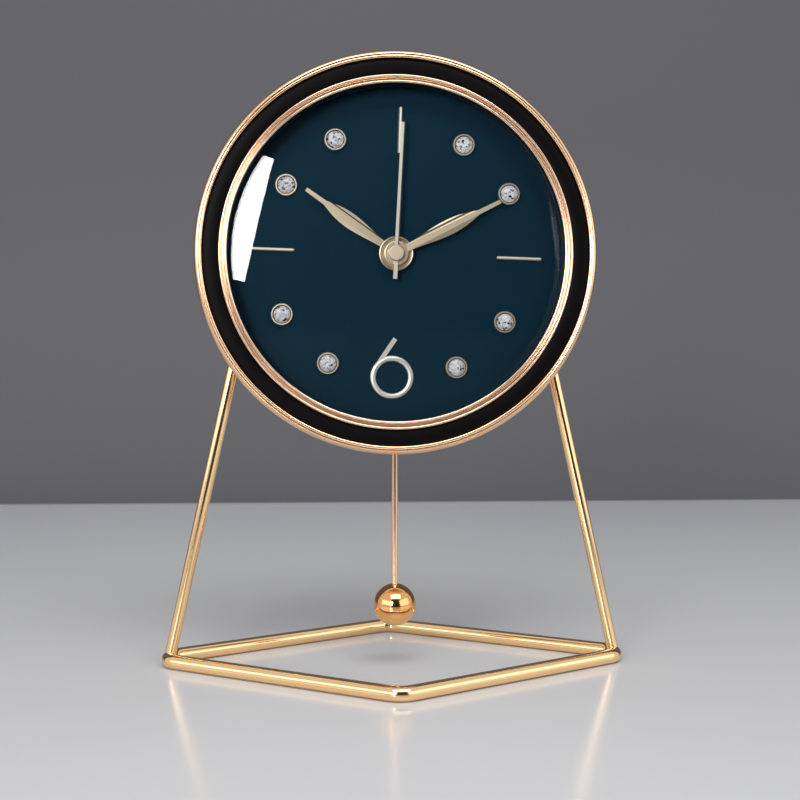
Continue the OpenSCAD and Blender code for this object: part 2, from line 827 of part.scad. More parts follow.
module numeral_6() {
    mid_r = (six_d - six_w) / 2;
    top = [six_lean, six_top_r - six_r];
    touch_dir = atan2(top[1], top[0]) - acos(mid_r / norm(top));
    touch = mid_r * [cos(touch_dir), sin(touch_dir)];
    along = touch - top;
    color(rose)
        face(dial_d)
            rotate([0, 0, dial_turn])
                translate([0, six_r, 0])
                    union() {
                        mirror([0, 0, 1])
                            rotate_extrude($fn = 96)
                                polygon(concat(
                                    bow(mid_r, six_h * 0.4, six_w / 2, six_h * 0.6, 0, 180, 8),
                                    [[mid_r - six_w / 2, 0], [mid_r + six_w / 2, 0]]));
                        translate([top[0], top[1], -six_h * 0.9])
                            rotate([0, 0, atan2(along[1], along[0])])
                                translate([0, -six_stem_w / 2, 0])
                                    cube([norm(along), six_stem_w, six_h * 0.9]);
                    }
}

crystal_hours = [1, 2, 4, 5, 7, 8, 10, 11];

module crystal_cups() {
    color(rose)
        for (hour = crystal_hours)
            on_dial(hour, crystal_circle_r)
                mirror([0, 0, 1])
                    rotate_extrude($fn = 48)
                        polygon([[0, 0], [cup_d / 2 - cup_lip, 0], [cup_d / 2, cup_floor],
                                 [cup_d / 2, cup_h - cup_lip], [cup_d / 2 - cup_lip, cup_h],
                                 [crystal_d / 2 + cup_lip, cup_h],
                                 [crystal_d / 2 + fit, cup_h - cup_bevel],
                                 [crystal_d / 2 + fit, cup_floor], [0, cup_floor]]);
}

module crystals() {
    r = crystal_d / 2;
    girdle_h = cup_h + crown_proud - crown_h - cup_floor - fit;
    color("#e8ecee")
        for (hour = crystal_hours)
            on_dial(hour, crystal_circle_r)
                rotate([0, 0, -hour * 30])
                    mirror([0, 0, 1])
                        translate([0, 0, cup_floor + fit])
                            union() {
                                cylinder(r = r, h = girdle_h, $fn = 12);
                                translate([0, 0, girdle_h])
                                    cylinder(r1 = r, r2 = r * 0.58, h = crown_h, $fn = 12);
                            }
}

// Hands

// Outline of a leaf, measured out from the middle strip's edge
function strip_half(y, len) = (strip_w0 + (strip_w1 - strip_w0) * y / len) / 2;
function leaf_points(len, from, to, n) =
    [for (i = [0 : n]) let (t = i / n, y = from + (to - from) * t)
        [strip_half(y, len) + (leaf_w / 2 - strip_half(len / 2, len)) * sin(180 * pow(t, 1.4)), -y]];

// A flat middle strip with a leaf on each side that slopes back from it
module leaf_hand(len, from) {
    to = len * leaf_reach;
    tuck = 0.35;
    union() {
        linear_extrude(height = hand_t)
            polygon([[-strip_w0 / 2, 0], [-strip_w1 / 2, -len], [strip_w1 / 2, -len],
                     [strip_w0 / 2, 0]]);
        for (side = [0, 1])
            mirror([side, 0, 0])
                translate([strip_half(to, len) - tuck, 0, hand_t * 0.25])
                    rotate([0, -leaf_tilt, 0])
                        linear_extrude(height = hand_t * 0.6)
                            translate([tuck - strip_half(to, len), 0])
                                polygon(concat(
                                    [[strip_half(to, len) - tuck, -from]],
                                    leaf_points(len, from, to, 16),
                                    [[strip_half(to, len) - tuck, -to]]));
    }
}

module hour_hand() {
    r = hour_hub_d / 2;
    color(rose)
        face()
            difference() {
                union() {
                    translate([0, 0, hour_hand_d])
                        rotate([0, 0, hour_angle])
                            leaf_hand(hour_len, r - 1.5);
                    rotate_extrude($fn = 96)
                        polygon(concat(
                            [[0, hour_hand_d + hand_t]],
                            [[r - 0.4, hour_hand_d + hand_t]],
                            bow(r - 0.6, hour_hub_front_d + 0.6, 0.6, 0.6, 0, -180, 8),
                            [[r - 1.4, hour_hub_front_d + 0.5], [0, hour_hub_front_d + 0.5]]));
                }
                translate([0, 0, hour_hub_front_d - 1])
                    cylinder(r = hour_tube_r + 0.02, h = 6, $fn = 48);
            }
}

module minute_hand() {
    r = minute_hub_d / 2;
    color(rose)
        face()
            difference() {
                union() {
                    translate([0, 0, minute_hand_d])
                        rotate([0, 0, minute_angle])
                            leaf_hand(minute_len, r - 0.5);
                    rotate_extrude($fn = 96)
                        polygon(concat(
                            [[0, minute_hand_d + hand_t]],
                            [[r - 0.2, minute_hand_d + hand_t]],
                            bow(r - 0.5, minute_hub_front_d + 0.5, 0.5, 0.5, 0, -90, 5),
                            [[0, minute_hub_front_d]]));
                }
                translate([0, 0, minute_hub_front_d - 1])
                    cylinder(r = minute_tube_r + 0.02, h = 6, $fn = 48);
            }
}

module second_hand() {
    r = second_cap_d / 2;
    w = second_w / 2;
    color(rose)
        face()
            difference() {
                union() {
                    translate([0, 0, second_hand_d])
                        rotate([0, 0, second_angle])
                            linear_extrude(height = hand_t)
                                polygon([[-w, second_tail], [-w * 0.9, -second_len],
                                         [w * 0.9, -second_len], [w, second_tail]]);
                    rotate_extrude($fn = 72)
                        polygon(concat(
                            [[0, second_hand_d + hand_t]],
                            [[r - 0.1, second_hand_d + hand_t]],
                            bow(r - 0.9, second_cap_front_d + 0.9, 0.9, 0.9, 0, -90, 5),
                            [[0, second_cap_front_d]]));
                }
                translate([0, 0, second_cap_front_d + 0.6])
                    cylinder(r = second_arbor_r + 0.02, h = 6, $fn = 32);
            }
}

// Hardware on the neck

module rubber_washer() {
    color("#2a2a2c")
        disc(10, dial_back_d + fit / 2, rubber_t, neck_r + fit, 64);
}

module brass_washer() {
    color(brass)
        disc(7.5, washer_d, washer_t, neck_r + fit, 64);
}

module dial_nut() {
    color(brass)
        face(nut_front_d)
            difference() {
                cylinder(d = nut_d, h = nut_t, $fn = 6);
                translate([0, 0, -1])
                    cylinder(r = neck_r + fit, h = nut_t + 2, $fn = 48);
            }
}

// Gear train

module at(place, depth) {
    face(depth)
        translate([place[0], place[1], 0])
            children();
}

module spindle(place, r, from_d, to_d) {
    at(place, from_d)
        cylinder(r = r, h = to_d - from_d, $fn = 32);
}

module hour_wheel() {
    color("#e4e2da")
        difference() {
            union() {
                at([0, 0], hour_wheel_d)
                    gear(hour_wheel_n, motion_mod, 1.2, hour_phase);
                spindle([0, 0], hour_tube_r, hour_hub_front_d + 0.2, hour_wheel_d + 1.2);
            }
            spindle([0, 0], minute_tube_r + run, hour_hub_front_d - 1, hour_wheel_d + 3);
        }
}

module centre_wheel() {
    color("#e4e2da")
        difference() {
            union() {
                at([0, 0], centre_wheel_d)
                    gear(centre_wheel_n, centre_mod, wheel_t + 0.2, centre_phase);
                at([0, 0], cannon_d)
                    gear(cannon_n, motion_mod, 1.6, 0);
                spindle([0, 0], minute_tube_r, minute_hub_front_d + 0.2, centre_wheel_d + wheel_t + 0.2);
            }
            spindle([0, 0], second_arbor_r + run, minute_hub_front_d - 1, centre_wheel_d + 4);
        }
}

module second_wheel() {
    color("#e4e2da")
        union() {
            at([0, 0], second_wheel_d)
                gear(second_wheel_n, train_mod, wheel_t, 0);
            at([0, 0], second_pinion_d)
                gear(second_pinion_n, train_mod, pinion_t, 0);
            spindle([0, 0], second_arbor_r, second_cap_front_d + 0.8, lid_bearing_d);
            spindle([0, 0], 1.2, second_pinion_d + pinion_t, second_wheel_d);
        }
}

module third_wheel() {
    color("#e4e2da")
        union() {
            at(third_at, third_wheel_d)
                gear(third_wheel_n, train_mod, wheel_t, third_phase);
            at(third_at, third_pinion_d)
                gear(third_pinion_n, centre_mod, pinion_t, 0);
            spindle(third_at, arbor_r, plate_bearing_d + 0.1, lid_bearing_d);
            spindle(third_at, 1.1, third_pinion_d + pinion_t, third_wheel_d);
        }
}

module intermediate_wheel() {
    color("#e4e2da")
        union() {
            at(inter_at, inter_wheel_d)
                gear(inter_wheel_n, train_mod, wheel_t, 0);
            at(inter_at, inter_pinion_d)
                gear(inter_pinion_n, train_mod, pinion_t, inter_phase);
            spindle(inter_at, arbor_r, plate_bearing_d + 0.1, lid_bearing_d);
            spindle(inter_at, 1.1, inter_pinion_d + pinion_t, inter_wheel_d);
        }
}

module rotor() {
    color("#6f7378")
        union() {
            at(rotor_at, rotor_pinion_d)
                gear(rotor_pinion_n, train_mod, pinion_t, rotor_phase);
            spindle(rotor_at, arbor_r, plate_bearing_d + 0.1, lid_bearing_d);
            spindle(rotor_at, magnet_r, stator_d - 1, stator_d + stator_t + 0.3);
        }
}

module minute_wheel() {
    color("#e4e2da")
        difference() {
            union() {
                at(minute_at, cannon_d + 0.2)
                    gear(minute_wheel_n, motion_mod, 1.2, minute_phase);
                at(minute_at, minute_pinion_d)
                    gear(minute_pinion_n, motion_mod, cannon_d + 0.2 - minute_pinion_d, 0);
            }
            spindle(minute_at, 0.8 + run, minute_pinion_d - 1, cannon_d + 4);
        }
}

module setting_knob() {
    knob_front_d = lid_d + lid_t + 0.3;
    color("#e4e2da")
        union() {
            at(setting_at, cannon_d + 0.2)
                gear(setting_pinion_n, motion_mod, 1.2, setting_phase);
            spindle(setting_at, 1.2, plate_bearing_d + 0.1, knob_front_d);
            at(setting_at, knob_front_d)
                difference() {
                    cylinder(d = knob_d, h = knob_h, $fn = 48);
                    for (i = [0 : 11])
                        rotate([0, 0, i * 30])
                            translate([knob_d / 2 + 0.3, 0, -1])
                                cylinder(r = 0.8, h = knob_h + 2, $fn = 16);
                }
        }
}

// Electric parts

module stator() {
    half = coil_half + yoke_over;
    x0 = rotor_at[0];
    y0 = rotor_at[1];
    color("#8d9196")
        face(stator_d)
            linear_extrude(height = stator_t)
                difference() {
                    union() {
                        translate([x0, y0])
                            circle(r = magnet_r + 2, $fn = 48);
                        translate([-half, y0 - stator_bar_w / 2])
                            square([2 * half, stator_bar_w]);
                        for (side = [-1, 1])
                            translate([side * (half - yoke_w / 2) - yoke_w / 2, coil_y - core_w / 2])
                                square([yoke_w, y0 - coil_y + core_w / 2]);
                        translate([-half, coil_y - core_w / 2])
                            square([2 * half, core_w]);
                    }
                    translate([x0, y0])
                        circle(r = magnet_r + 0.5, $fn = 48);
                    translate(inter_at)
                        circle(r = arbor_r + 1.4, $fn = 32);
                }
}

module drive_coil() {
    color(copper)
        face()
            translate([0, coil_y, stator_d + stator_t / 2])
                rotate([0, 90, 0])
                    difference() {
                        union() {
                            cylinder(r = coil_r - 0.4, h = 2 * coil_half, center = true, $fn = 48);
                            for (side = [-1, 1])
                                translate([0, 0, side * (coil_half - 0.5)])
                                    cylinder(r = coil_r, h = 1, center = true, $fn = 48);
                        }
                        cube([stator_t + 2 * fit, core_w + 2 * fit, 2 * coil_half + 2],
                             center = true);
                    }
}

board_x0 = -mov_half_w + mov_wall + fit;
board_y0 = -mov_up + mov_wall + fit;
board_posts = [[board_x0 + 2.2, board_y0 + 2.2], [board_x0 + 2.2, board_y0 + 17]];

module circuit_board() {
    color("#2f6b45")
        face(board_d)
            translate([board_x0, board_y0, 0])
                cube([18, 19, board_t]);
}

module quartz_crystal() {
    color(steel)
        face()
            translate([board_x0 + 2, board_y0 + 5, board_d - 1 - fit])
                rotate([-90, 0, 0])
                    cylinder(r = 1, h = 6, $fn = 24);
}

// Movement housing

module movement_base() {
    w = mov_half_w;
    h = mov_up + mov_down;
    iw = w - mov_wall;
    color(black)
        face()
            difference() {
                union() {
                    difference() {
                        translate([-w, -mov_up, mov_d])
                            cube([2 * w, h, mov_plate_t + mov_room]);
                        translate([-iw, -mov_up + mov_wall, room_d])
                            cube([2 * iw, bay_y + mov_up - mov_wall, mov_room + 1]);
                        translate([-iw, bay_y + bay_wall, mov_d + 0.6])
                            cube([2 * iw, mov_down - mov_wall - bay_y - bay_wall, mov_room + 4]);
                    }
                    translate([0, 0, nut_front_d])
                        cylinder(r = neck_r, h = mov_d - nut_front_d + 1, $fn = 64);
                    translate([minute_at[0], minute_at[1], room_d - 0.5])
                        cylinder(r = 0.8, h = cannon_d + 2 - room_d, $fn = 24);
                    for (p = board_posts)
                        translate([p[0], p[1], room_d - 0.5])
                            cylinder(r = 1.6, h = board_d - room_d + 0.5 - fit / 2, $fn = 24);
                    for (side = [-1, 1])
                        translate([side * (coil_half + yoke_over - yoke_w / 2), rotor_at[1],
                                   room_d - 0.5])
                            cylinder(r = 1.2, h = stator_d - room_d + 0.5 - fit / 2, $fn = 24);
                }
                translate([0, 0, nut_front_d - 1])
                    cylinder(r = hour_tube_r + run, h = room_d - nut_front_d + 3, $fn = 48);
                for (p = [third_at, inter_at, rotor_at])
                    translate([p[0], p[1], plate_bearing_d])
                        cylinder(r = arbor_r + run, h = 3, $fn = 24);
                translate([setting_at[0], setting_at[1], plate_bearing_d])
                    cylinder(r = 1.2 + run, h = 3, $fn = 32);
            }
}

module movement_lid() {
    w = mov_half_w;
    color(black)
        face()
            difference() {
                translate([-w, -mov_up, lid_d])
                    cube([2 * w, mov_up + bay_y + bay_wall, lid_t]);
                for (p = [third_at, inter_at, rotor_at])
                    translate([p[0], p[1], lid_d - 1])
                        cylinder(r = arbor_r + run, h = 1.85, $fn = 24);
                translate([0, 0, lid_d - 1])
                    cylinder(r = second_arbor_r + run, h = 1.85, $fn = 24);
                translate([setting_at[0], setting_at[1], lid_d - 1])
                    cylinder(r = 1.2 + run, h = lid_t + 2, $fn = 32);
            }
}

module battery() {
    button_l = 1.2;
    x0 = plus_x - fit - battery_len;
    color("#3c6ea8")
        face()
            translate([x0, battery_y, battery_d0])
                rotate([0, 90, 0])
                    union() {
                        cylinder(d = battery_d, h = battery_len - button_l, $fn = 64);
                        cylinder(r = 2.7, h = battery_len, $fn = 32);
                    }
}

module contact_positive() {
    color(steel)
        face()
            translate([plus_x, battery_y - 5, battery_d0 - 5])
                cube([contact_t, 10, 11]);
}

module contact_negative() {
    wall_x = -mov_half_w + mov_wall + fit / 2;
    tip_x = plus_x - fit - battery_len - fit;
    color(steel)
        face()
            translate([0, battery_y - 3, 0])
                rotate([-90, 0, 0])
                    linear_extrude(height = 6)
                        polygon([[wall_x, -battery_d0 + 6], [wall_x, -battery_d0 - 6],
                                 [wall_x + contact_t, -battery_d0 - 6],
                                 [wall_x + contact_t, -battery_d0 + 4.6],
                                 [tip_x, -battery_d0], [tip_x, -battery_d0 + 0.8],
                                 [wall_x + contact_t, -battery_d0 + 6]]);
}

// Pendulum

module pendulum_housing() {
    w = house_half_w;
    iw = w - house_wall;
    t = house_back_d - house_d;
    color(black)
        face()
            difference() {
                translate([-w, house_y, house_d])
                    cube([2 * w, house_h, t]);
                translate([-iw, house_y + house_wall, house_d + house_wall])
                    cube([2 * iw, house_h, t - 2 * house_wall]);
                translate([0, pivot_drop, house_d - 1])
                    cylinder(r = pin_r + 0.02, h = t + 2, $fn = 32);
            }
}

module pendulum_pin() {
    color(steel)
        face(house_d)
            translate([0, pivot_drop, 0])
                cylinder(r = pin_r, h = house_back_d - house_d, $fn = 32);
}

module pendulum_arm() {
    color("#e4e2da")
        face()
            difference() {
                union() {
                    translate([0, pivot_drop, arm_d - 2])
                        cylinder(r = 2.4, h = arm_t + 4, $fn = 48);
                    translate([-2.2, pivot_drop, arm_d])
                        cube([4.4, hook_drop, arm_t]);
                    translate([0, hook_y, arm_d])
                        cylinder(r = 2.2, h = arm_t, $fn = 32);
                    translate([0, magnet_y, arm_d])
                        cylinder(r = 4.6, h = arm_t, $fn = 48);
                    translate([0, hook_y, arm_d])
                        cylinder(r = 1, h = rod_depth + 2.2 - arm_d, $fn = 32);
                    translate([0, hook_y, rod_depth + 1.2])
                        cylinder(r = 1.5, h = 1, $fn = 32);
                }
                translate([0, pivot_drop, arm_d - 3])
                    cylinder(r = pin_r + run, h = arm_t + 6, $fn = 32);
            }
}

module pendulum_magnet() {
    color(steel)
        face(arm_d + arm_t + fit / 2)
            translate([0, magnet_y, 0])
                cylinder(r = 4, h = 2.2, $fn = 48);
}

module pendulum_coil() {
    back_d = house_back_d - house_wall - fit / 2;
    front_d = arm_d + arm_t + 3.1;
    color(copper)
        face(front_d)
            translate([0, magnet_y, 0])
                difference() {
                    cylinder(r = 7, h = back_d - front_d, $fn = 64);
                    translate([0, 0, -1])
                        cylinder(r = 2, h = back_d - front_d + 2, $fn = 32);
                }
}

module pendulum_rod() {
    eye_t = 1.6;
    eye_r = 2.8;
    eye_bore_r = 1.1;
    top = head_z - hook_y;
    low = bob_z + bob_d / 2 - bob_hole;
    y = front_y + rod_depth;
    color(copper)
        difference() {
            union() {
                translate([0, y, low])
                    cylinder(r = rod_r, h = top - low - 2 * eye_bore_r, $fn = 48);
                translate([0, y - eye_t / 2, top])
                    rotate([-90, 0, 0])
                        cylinder(r = eye_r, h = eye_t, $fn = 48);
            }
            translate([0, y - 3, top])
                rotate([-90, 0, 0])
                    cylinder(r = eye_bore_r, h = 6, $fn = 32);
        }
}

module pendulum_bob() {
    color("#d99a55")
        translate([0, front_y + rod_depth, bob_z])
            difference() {
                sphere(d = bob_d, $fn = 96);
                translate([0, 0, bob_d / 2 - bob_hole - fit])
                    cylinder(r = rod_r + run, h = bob_hole + 2, $fn = 48);
            }
}

base_frame();
left_leg();
right_leg();
leg_screws();
outer_rim();
front_frame();
inner_ring();
glass();
glass_gasket();
spacer_ring();
dial();
retainer_ring();
retainer_screws();
case_drum();
back_cover();
cover_screws();
marker_12();
marker_3();
marker_9();
numeral_6();
crystal_cups();
crystals();
rubber_washer();
brass_washer();
dial_nut();
hour_hand();
minute_hand();
second_hand();
hour_wheel();
centre_wheel();
second_wheel();
minute_wheel();
third_wheel();
intermediate_wheel();
rotor();
stator();
drive_coil();
circuit_board();
quartz_crystal();
movement_base();
movement_lid();
setting_knob();
battery();
contact_positive();
contact_negative();
pendulum_housing();
pendulum_pin();
pendulum_arm();
pendulum_magnet();
pendulum_coil();
pendulum_rod();
pendulum_bob();
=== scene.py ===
"""Desk pendulum clock: finishes, set stones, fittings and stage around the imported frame."""

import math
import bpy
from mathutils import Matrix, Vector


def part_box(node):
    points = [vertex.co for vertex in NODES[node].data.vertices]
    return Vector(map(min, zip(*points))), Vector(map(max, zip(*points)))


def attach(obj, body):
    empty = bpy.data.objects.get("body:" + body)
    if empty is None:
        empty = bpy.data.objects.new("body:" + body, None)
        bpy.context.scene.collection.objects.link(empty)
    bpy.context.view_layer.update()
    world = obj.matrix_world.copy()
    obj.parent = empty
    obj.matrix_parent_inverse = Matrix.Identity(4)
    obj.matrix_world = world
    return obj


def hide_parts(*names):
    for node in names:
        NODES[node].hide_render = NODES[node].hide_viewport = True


bl_info = {
    "name": "Desk Pendulum Clock",
    "version": (1, 0, 0),
    "blender": (4, 5, 0),
    "location": "View3D > Sidebar > Clock",
    "description": "Dresses the frame of a desk pendulum clock and sets the stage for it",
    "category": "Object",
}

import bmesh
import bpy
from bpy.props import FloatProperty, FloatVectorProperty, PointerProperty
from mathutils import Matrix, Vector

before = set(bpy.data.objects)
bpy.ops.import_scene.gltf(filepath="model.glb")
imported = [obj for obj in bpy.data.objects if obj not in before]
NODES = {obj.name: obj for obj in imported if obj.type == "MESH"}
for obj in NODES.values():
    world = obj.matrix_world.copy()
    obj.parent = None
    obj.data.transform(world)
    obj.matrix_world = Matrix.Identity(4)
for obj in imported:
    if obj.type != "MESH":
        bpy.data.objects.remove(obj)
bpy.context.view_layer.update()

ROOT = "case_and_stand"


def middle(node):
    """The middle of a node's box."""
    low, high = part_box(node)
    return (Vector(low) + Vector(high)) / 2


def span(node):
    """The lengths of the three sides of a node's box."""
    low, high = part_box(node)
    return Vector(high) - Vector(low)


# Turns of the dial and of the hands, clockwise from the top
DIAL_TURN = math.radians(1.9)
HOUR_ANGLE = math.radians(305.4)
MINUTE_ANGLE = math.radians(63.4)
SECOND_ANGLE = math.radians(3.0)

# The head, in metres
DIAL_CENTRE = middle("dial")
DIAL_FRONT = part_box("dial")[0][1]
CAP_RADIUS = 0.0041  # the matte cap in the middle of the hub
GLASS_PANE = 0.0022  # thickness of the pane
GLASS_SEAT = 0.0013  # width of the flat seat at the pane's edge
RING_WALL = 0.0847  # radius inside which the dial's ring is made rough and painted near-black as shade
RING_LIP = 0.0009  # depth of the bright lip in front of that shaded wall

# The finish of the turned pieces
WALL_SHADE_TINT = (0.01, 0.012, 0.015)  # painted shade on the ring's inner wall
GLASS_SHARE = 0.75  # how much of a bare pane's reflection the coated glass keeps
RING_STEPS = 240
GLASS_STEPS = 192
CREASE = 35  # an edge that turns by more degrees than this is sharp

# The stones, in metres, with heights above the dial
STONE_HOURS = (1, 2, 4, 5, 7, 8, 10, 11)
STONE_CIRCLE = 0.0654
STONE_RADIUS = 0.0043
CUP_FLOOR = 0.0007
CUP_FRONT = 0.0019
SEAT_SHADOW_EDGES = ((0.00435, -0.0002), (0.00475, 0.00005))  # a dark ring of painted shadow round each stone: radius, and height above the cup's front

# The stage, in metres
STAGE_HALF = 3.0
STAGE_FRONT = -3.9
TABLE_FRONT = -0.44  # in front of it the sheet is dark
WALL_DEPTH = 1.2
WALL_BEND = 0.5
WALL_HEIGHT = 3.0
SCREEN_PLACE = (0.15, STAGE_FRONT, 1.6)
SCREEN_HALF = (2.0, 1.6)
LAMP_AIM = (0, 0, 0.2)

# Tints that two finishes share
RUBBER = (0.012, 0.012, 0.012)
COPPER = (0.72, 0.30, 0.12)


def colour(name, text, default):
    """A colour property with its default in linear light."""
    return FloatVectorProperty(
        name=name, description=text, default=default, size=3, subtype="COLOR", min=0, max=1
    )


def length(name, text, default):
    """A length property, in metres."""
    return FloatProperty(name=name, description=text, default=default, min=0, unit="LENGTH")


def turning(name, text, degrees):
    """An angle property with its default in degrees."""
    return FloatProperty(
        name=name, description=text, default=math.radians(degrees), subtype="ANGLE"
    )


def number(name, text, default, unit="NONE"):
    """A number of that unit."""
    return FloatProperty(name=name, description=text, default=default, unit=unit)


def share(name, text, default, low, high):
    """A share of another measure, kept between two limits."""
    return FloatProperty(name=name, description=text, default=default, min=low, max=high)


class ClockFinish(bpy.types.PropertyGroup):
    """Colours of the clock."""

    stand_gold: colour("Stand gold", "Gold plate of the base and the legs", (0.99, 0.67, 0.35))
    case_gold: colour("Case gold", "Rose gold plate of the rim and the drum", (0.97, 0.62, 0.37))
    ring_gold: colour("Ring gold", "Paler rose gold plate of the dial's ring", (0.95, 0.69, 0.50))
    hand_gold: colour("Hand gold", "Brushed champagne gold of the hands", (0.88, 0.73, 0.51))
    second_gold: colour("Second hand gold", "Pale plate of the second hand", (0.98, 0.90, 0.74))
    pale_gold: colour("Pale gold", "Pale gold of the 12 bar and the numeral", (1.0, 0.93, 0.83))
    cap_gold: colour("Cap gold", "Matte plate of the hub's cap", (0.80, 0.64, 0.48))
    marker_gold: colour("Marker gold", "Pale gold of the bars at 3 and 9", (1.0, 0.86, 0.72))
    cup_gold: colour("Cup gold", "Dull gold of the stones' cups", (0.86, 0.73, 0.58))
    bob_gold: colour("Bob gold", "Polished plate of the bob", (0.98, 0.50, 0.19))
    rod_copper: colour("Rod copper", "Copper plate of the pendulum rod", (0.93, 0.62, 0.42))
    dial_blue: colour("Dial blue", "Paint of the dial", (0.0030, 0.0265, 0.0480))
    lacquer: colour("Lacquer", "Black lacquer of the bezel", (0.0018, 0.0014, 0.0014))
    housing: colour("Housing", "Black plastic of movement and cover", (0.016, 0.016, 0.017))
    gear: colour("Gear", "Natural white plastic of the wheels", (0.72, 0.69, 0.60))
    battery: colour("Battery", "Sleeve of the battery", (0.02, 0.09, 0.24))
    floor: colour("Floor", "The pale table top", (0.53, 0.53, 0.535))
    wall: colour("Wall", "The backdrop behind the table top", (0.125, 0.123, 0.135))


class StoneSizes(bpy.types.PropertyGroup):
    """Cut of the stones on the dial."""

    table: share("Table", "Table radius as a share of the stone's", 0.56, 0.3, 0.8)
    crown: share("Crown", "Radius of the crown's corners, as a share", 0.80, 0.6, 0.95)
    girdle: length("Girdle", "Height of the girdle above the cup's floor", 0.00035)
    height: length("Height", "Height of the table above the cup's floor", 0.0019)


class StageSizes(bpy.types.PropertyGroup):
    """Camera and lights."""

    distance: length("Distance", "Camera to the middle of the base", 0.640)
    height: length("Height", "Camera above the table top", 0.1602)
    azimuth: turning("Azimuth", "How far left of the front the camera stands", 2.766)
    turn: turning("Turn", "How far the camera looks past the clock's middle", 0.297)
    rise: number("Rise", "Upward shift of the level lens, as a share of the frame", -0.0516)
    focal: number("Focal length", "Lens, in mm on a 36 mm frame", 54.65, "CAMERA")
    window: number("Window", "Power of the near window pane", 16.5, "POWER")
    panes: number("Panes", "Power of the row of far panes", 5.5, "POWER")
    side: number("Side", "Power of the right lamp", 5.5, "POWER")
    top: number("Top", "Power of the overhead lamp", 22.0, "POWER")
    world: number("World", "Strength of the surroundings", 0.76)


def finish_of(context):
    """The scene's colours of the clock."""
    return context.scene.clock_finish


class Sum:
    """A shader value or a number that takes part in Python arithmetic."""

    def __init__(self, tree, value):
        self.tree = tree
        self.value = value

    def _math(self, operation, first, second=None):
        """The result of a maths node with one or two inputs."""
        node = self.tree.nodes.new("ShaderNodeMath")
        node.operation = operation
        for index, item in enumerate((first, second)):
            if item is None:
                continue
            item = item.value if isinstance(item, Sum) else item
            if isinstance(item, bpy.types.NodeSocket):
                self.tree.links.new(item, node.inputs[index])
            else:
                node.inputs[index].default_value = item
        return Sum(self.tree, node.outputs[0])

    def __add__(self, other):
        return self._math("ADD", self, other)

    __radd__ = __add__

    def __sub__(self, other):
        return self._math("SUBTRACT", self, other)

    def __rsub__(self, other):
        return self._math("SUBTRACT", other, self)

    def __mul__(self, other):
        return self._math("MULTIPLY", self, other)

    __rmul__ = __mul__

    def __pow__(self, other):
        return self._math("POWER", self, other)

    def __rpow__(self, other):
        return self._math("POWER", other, self)

    def __gt__(self, other):
        return self._math("GREATER_THAN", self, other)

    def __lt__(self, other):
        return self._math("LESS_THAN", self, other)

    def wave(self):
        """The sine."""
        return self._math("SINE", self)

    def size(self):
        """The value without its sign."""
        return self._math("ABSOLUTE", self)


class Finish:
    """One material and the nodes in it."""

    def __init__(self, name):
        self.material = bpy.data.materials.new(name)
        self.material.use_nodes = True
        self.tree = self.material.node_tree
        self.tree.nodes.clear()
        self.output = self.node("ShaderNodeOutputMaterial")
        self.shader = self.node("ShaderNodeBsdfPrincipled")
        self.tree.links.new(self.shader.outputs[0], self.output.inputs["Surface"])

    def node(self, kind, settings=None, **inputs):
        """A node of that type: its settings first, then the values or links of its sockets."""
        made = self.tree.nodes.new(kind)
        for key, value in (settings or {}).items():
            if key == "stops":
                ramp = made.color_ramp
                while len(ramp.elements) < len(value):
                    ramp.elements.new(0.5)
                for element, (place, shade) in zip(ramp.elements, value):
                    element.position = place
                    element.color = (*shade, 1) if len(shade) == 3 else shade
            else:
                setattr(made, key, value)
        for key, value in inputs.items():
            self.join(made.inputs[key.replace("_", " ")], value)
        return made

    def join(self, socket, value):
        """Links a socket to a value's socket, or gives it the value."""
        value = value.value if isinstance(value, Sum) else value
        if isinstance(value, bpy.types.NodeSocket):
            self.tree.links.new(value, socket)
        elif socket.type == "RGBA":
            socket.default_value = (*value[:3], 1)
        else:
            socket.default_value = value

    def set(self, **sockets):
        """Values or links for the shader's own sockets."""
        for key, value in sockets.items():
            self.join(self.shader.inputs[key.replace("_", " ")], value)
        return self

    def place(self, centre=(0, 0, 0), turn=(0, 0, 0), scale=(1, 1, 1)):
        """Object coordinates measured from a centre, turned and scaled."""
        here = self.node("ShaderNodeTexCoord").outputs["Object"]
        moved = self.node("ShaderNodeVectorMath", {"operation": "SUBTRACT"})
        self.join(moved.inputs[0], here)
        moved.inputs[1].default_value = centre
        turned = self.node("ShaderNodeMapping", Vector=moved.outputs[0])
        turned.inputs["Rotation"].default_value = turn
        turned.inputs["Scale"].default_value = scale
        return turned.outputs[0]

    def parts(self, vector):
        """The three parts of a vector, each ready for arithmetic."""
        split = self.node("ShaderNodeSeparateXYZ", Vector=vector)
        return [Sum(self.tree, socket) for socket in split.outputs]

    def noise(self, vector, scale, detail=3.0, rough=0.55):
        """Soft random values between 0 and 1."""
        made = self.node(
            "ShaderNodeTexNoise", Vector=vector, Scale=scale, Detail=detail, Roughness=rough
        )
        return Sum(self.tree, made.outputs["Fac"])

    def mix(self, factor, first, second):
        """A colour between two colours."""
        made = self.node("ShaderNodeMix", {"data_type": "RGBA"})
        self.join(made.inputs[0], factor)
        self.join(made.inputs[6], first)
        self.join(made.inputs[7], second)
        return made.outputs[2]

    def bump(self, height, depth, strength=1.0):
        """A normal that follows a height."""
        made = self.node("ShaderNodeBump", Strength=strength, Distance=depth, Height=height)
        return made.outputs["Normal"]


def shade(tint, factor):
    """A colour made darker or lighter."""
    return tuple(min(1.0, channel * factor) for channel in tint)


# Materials


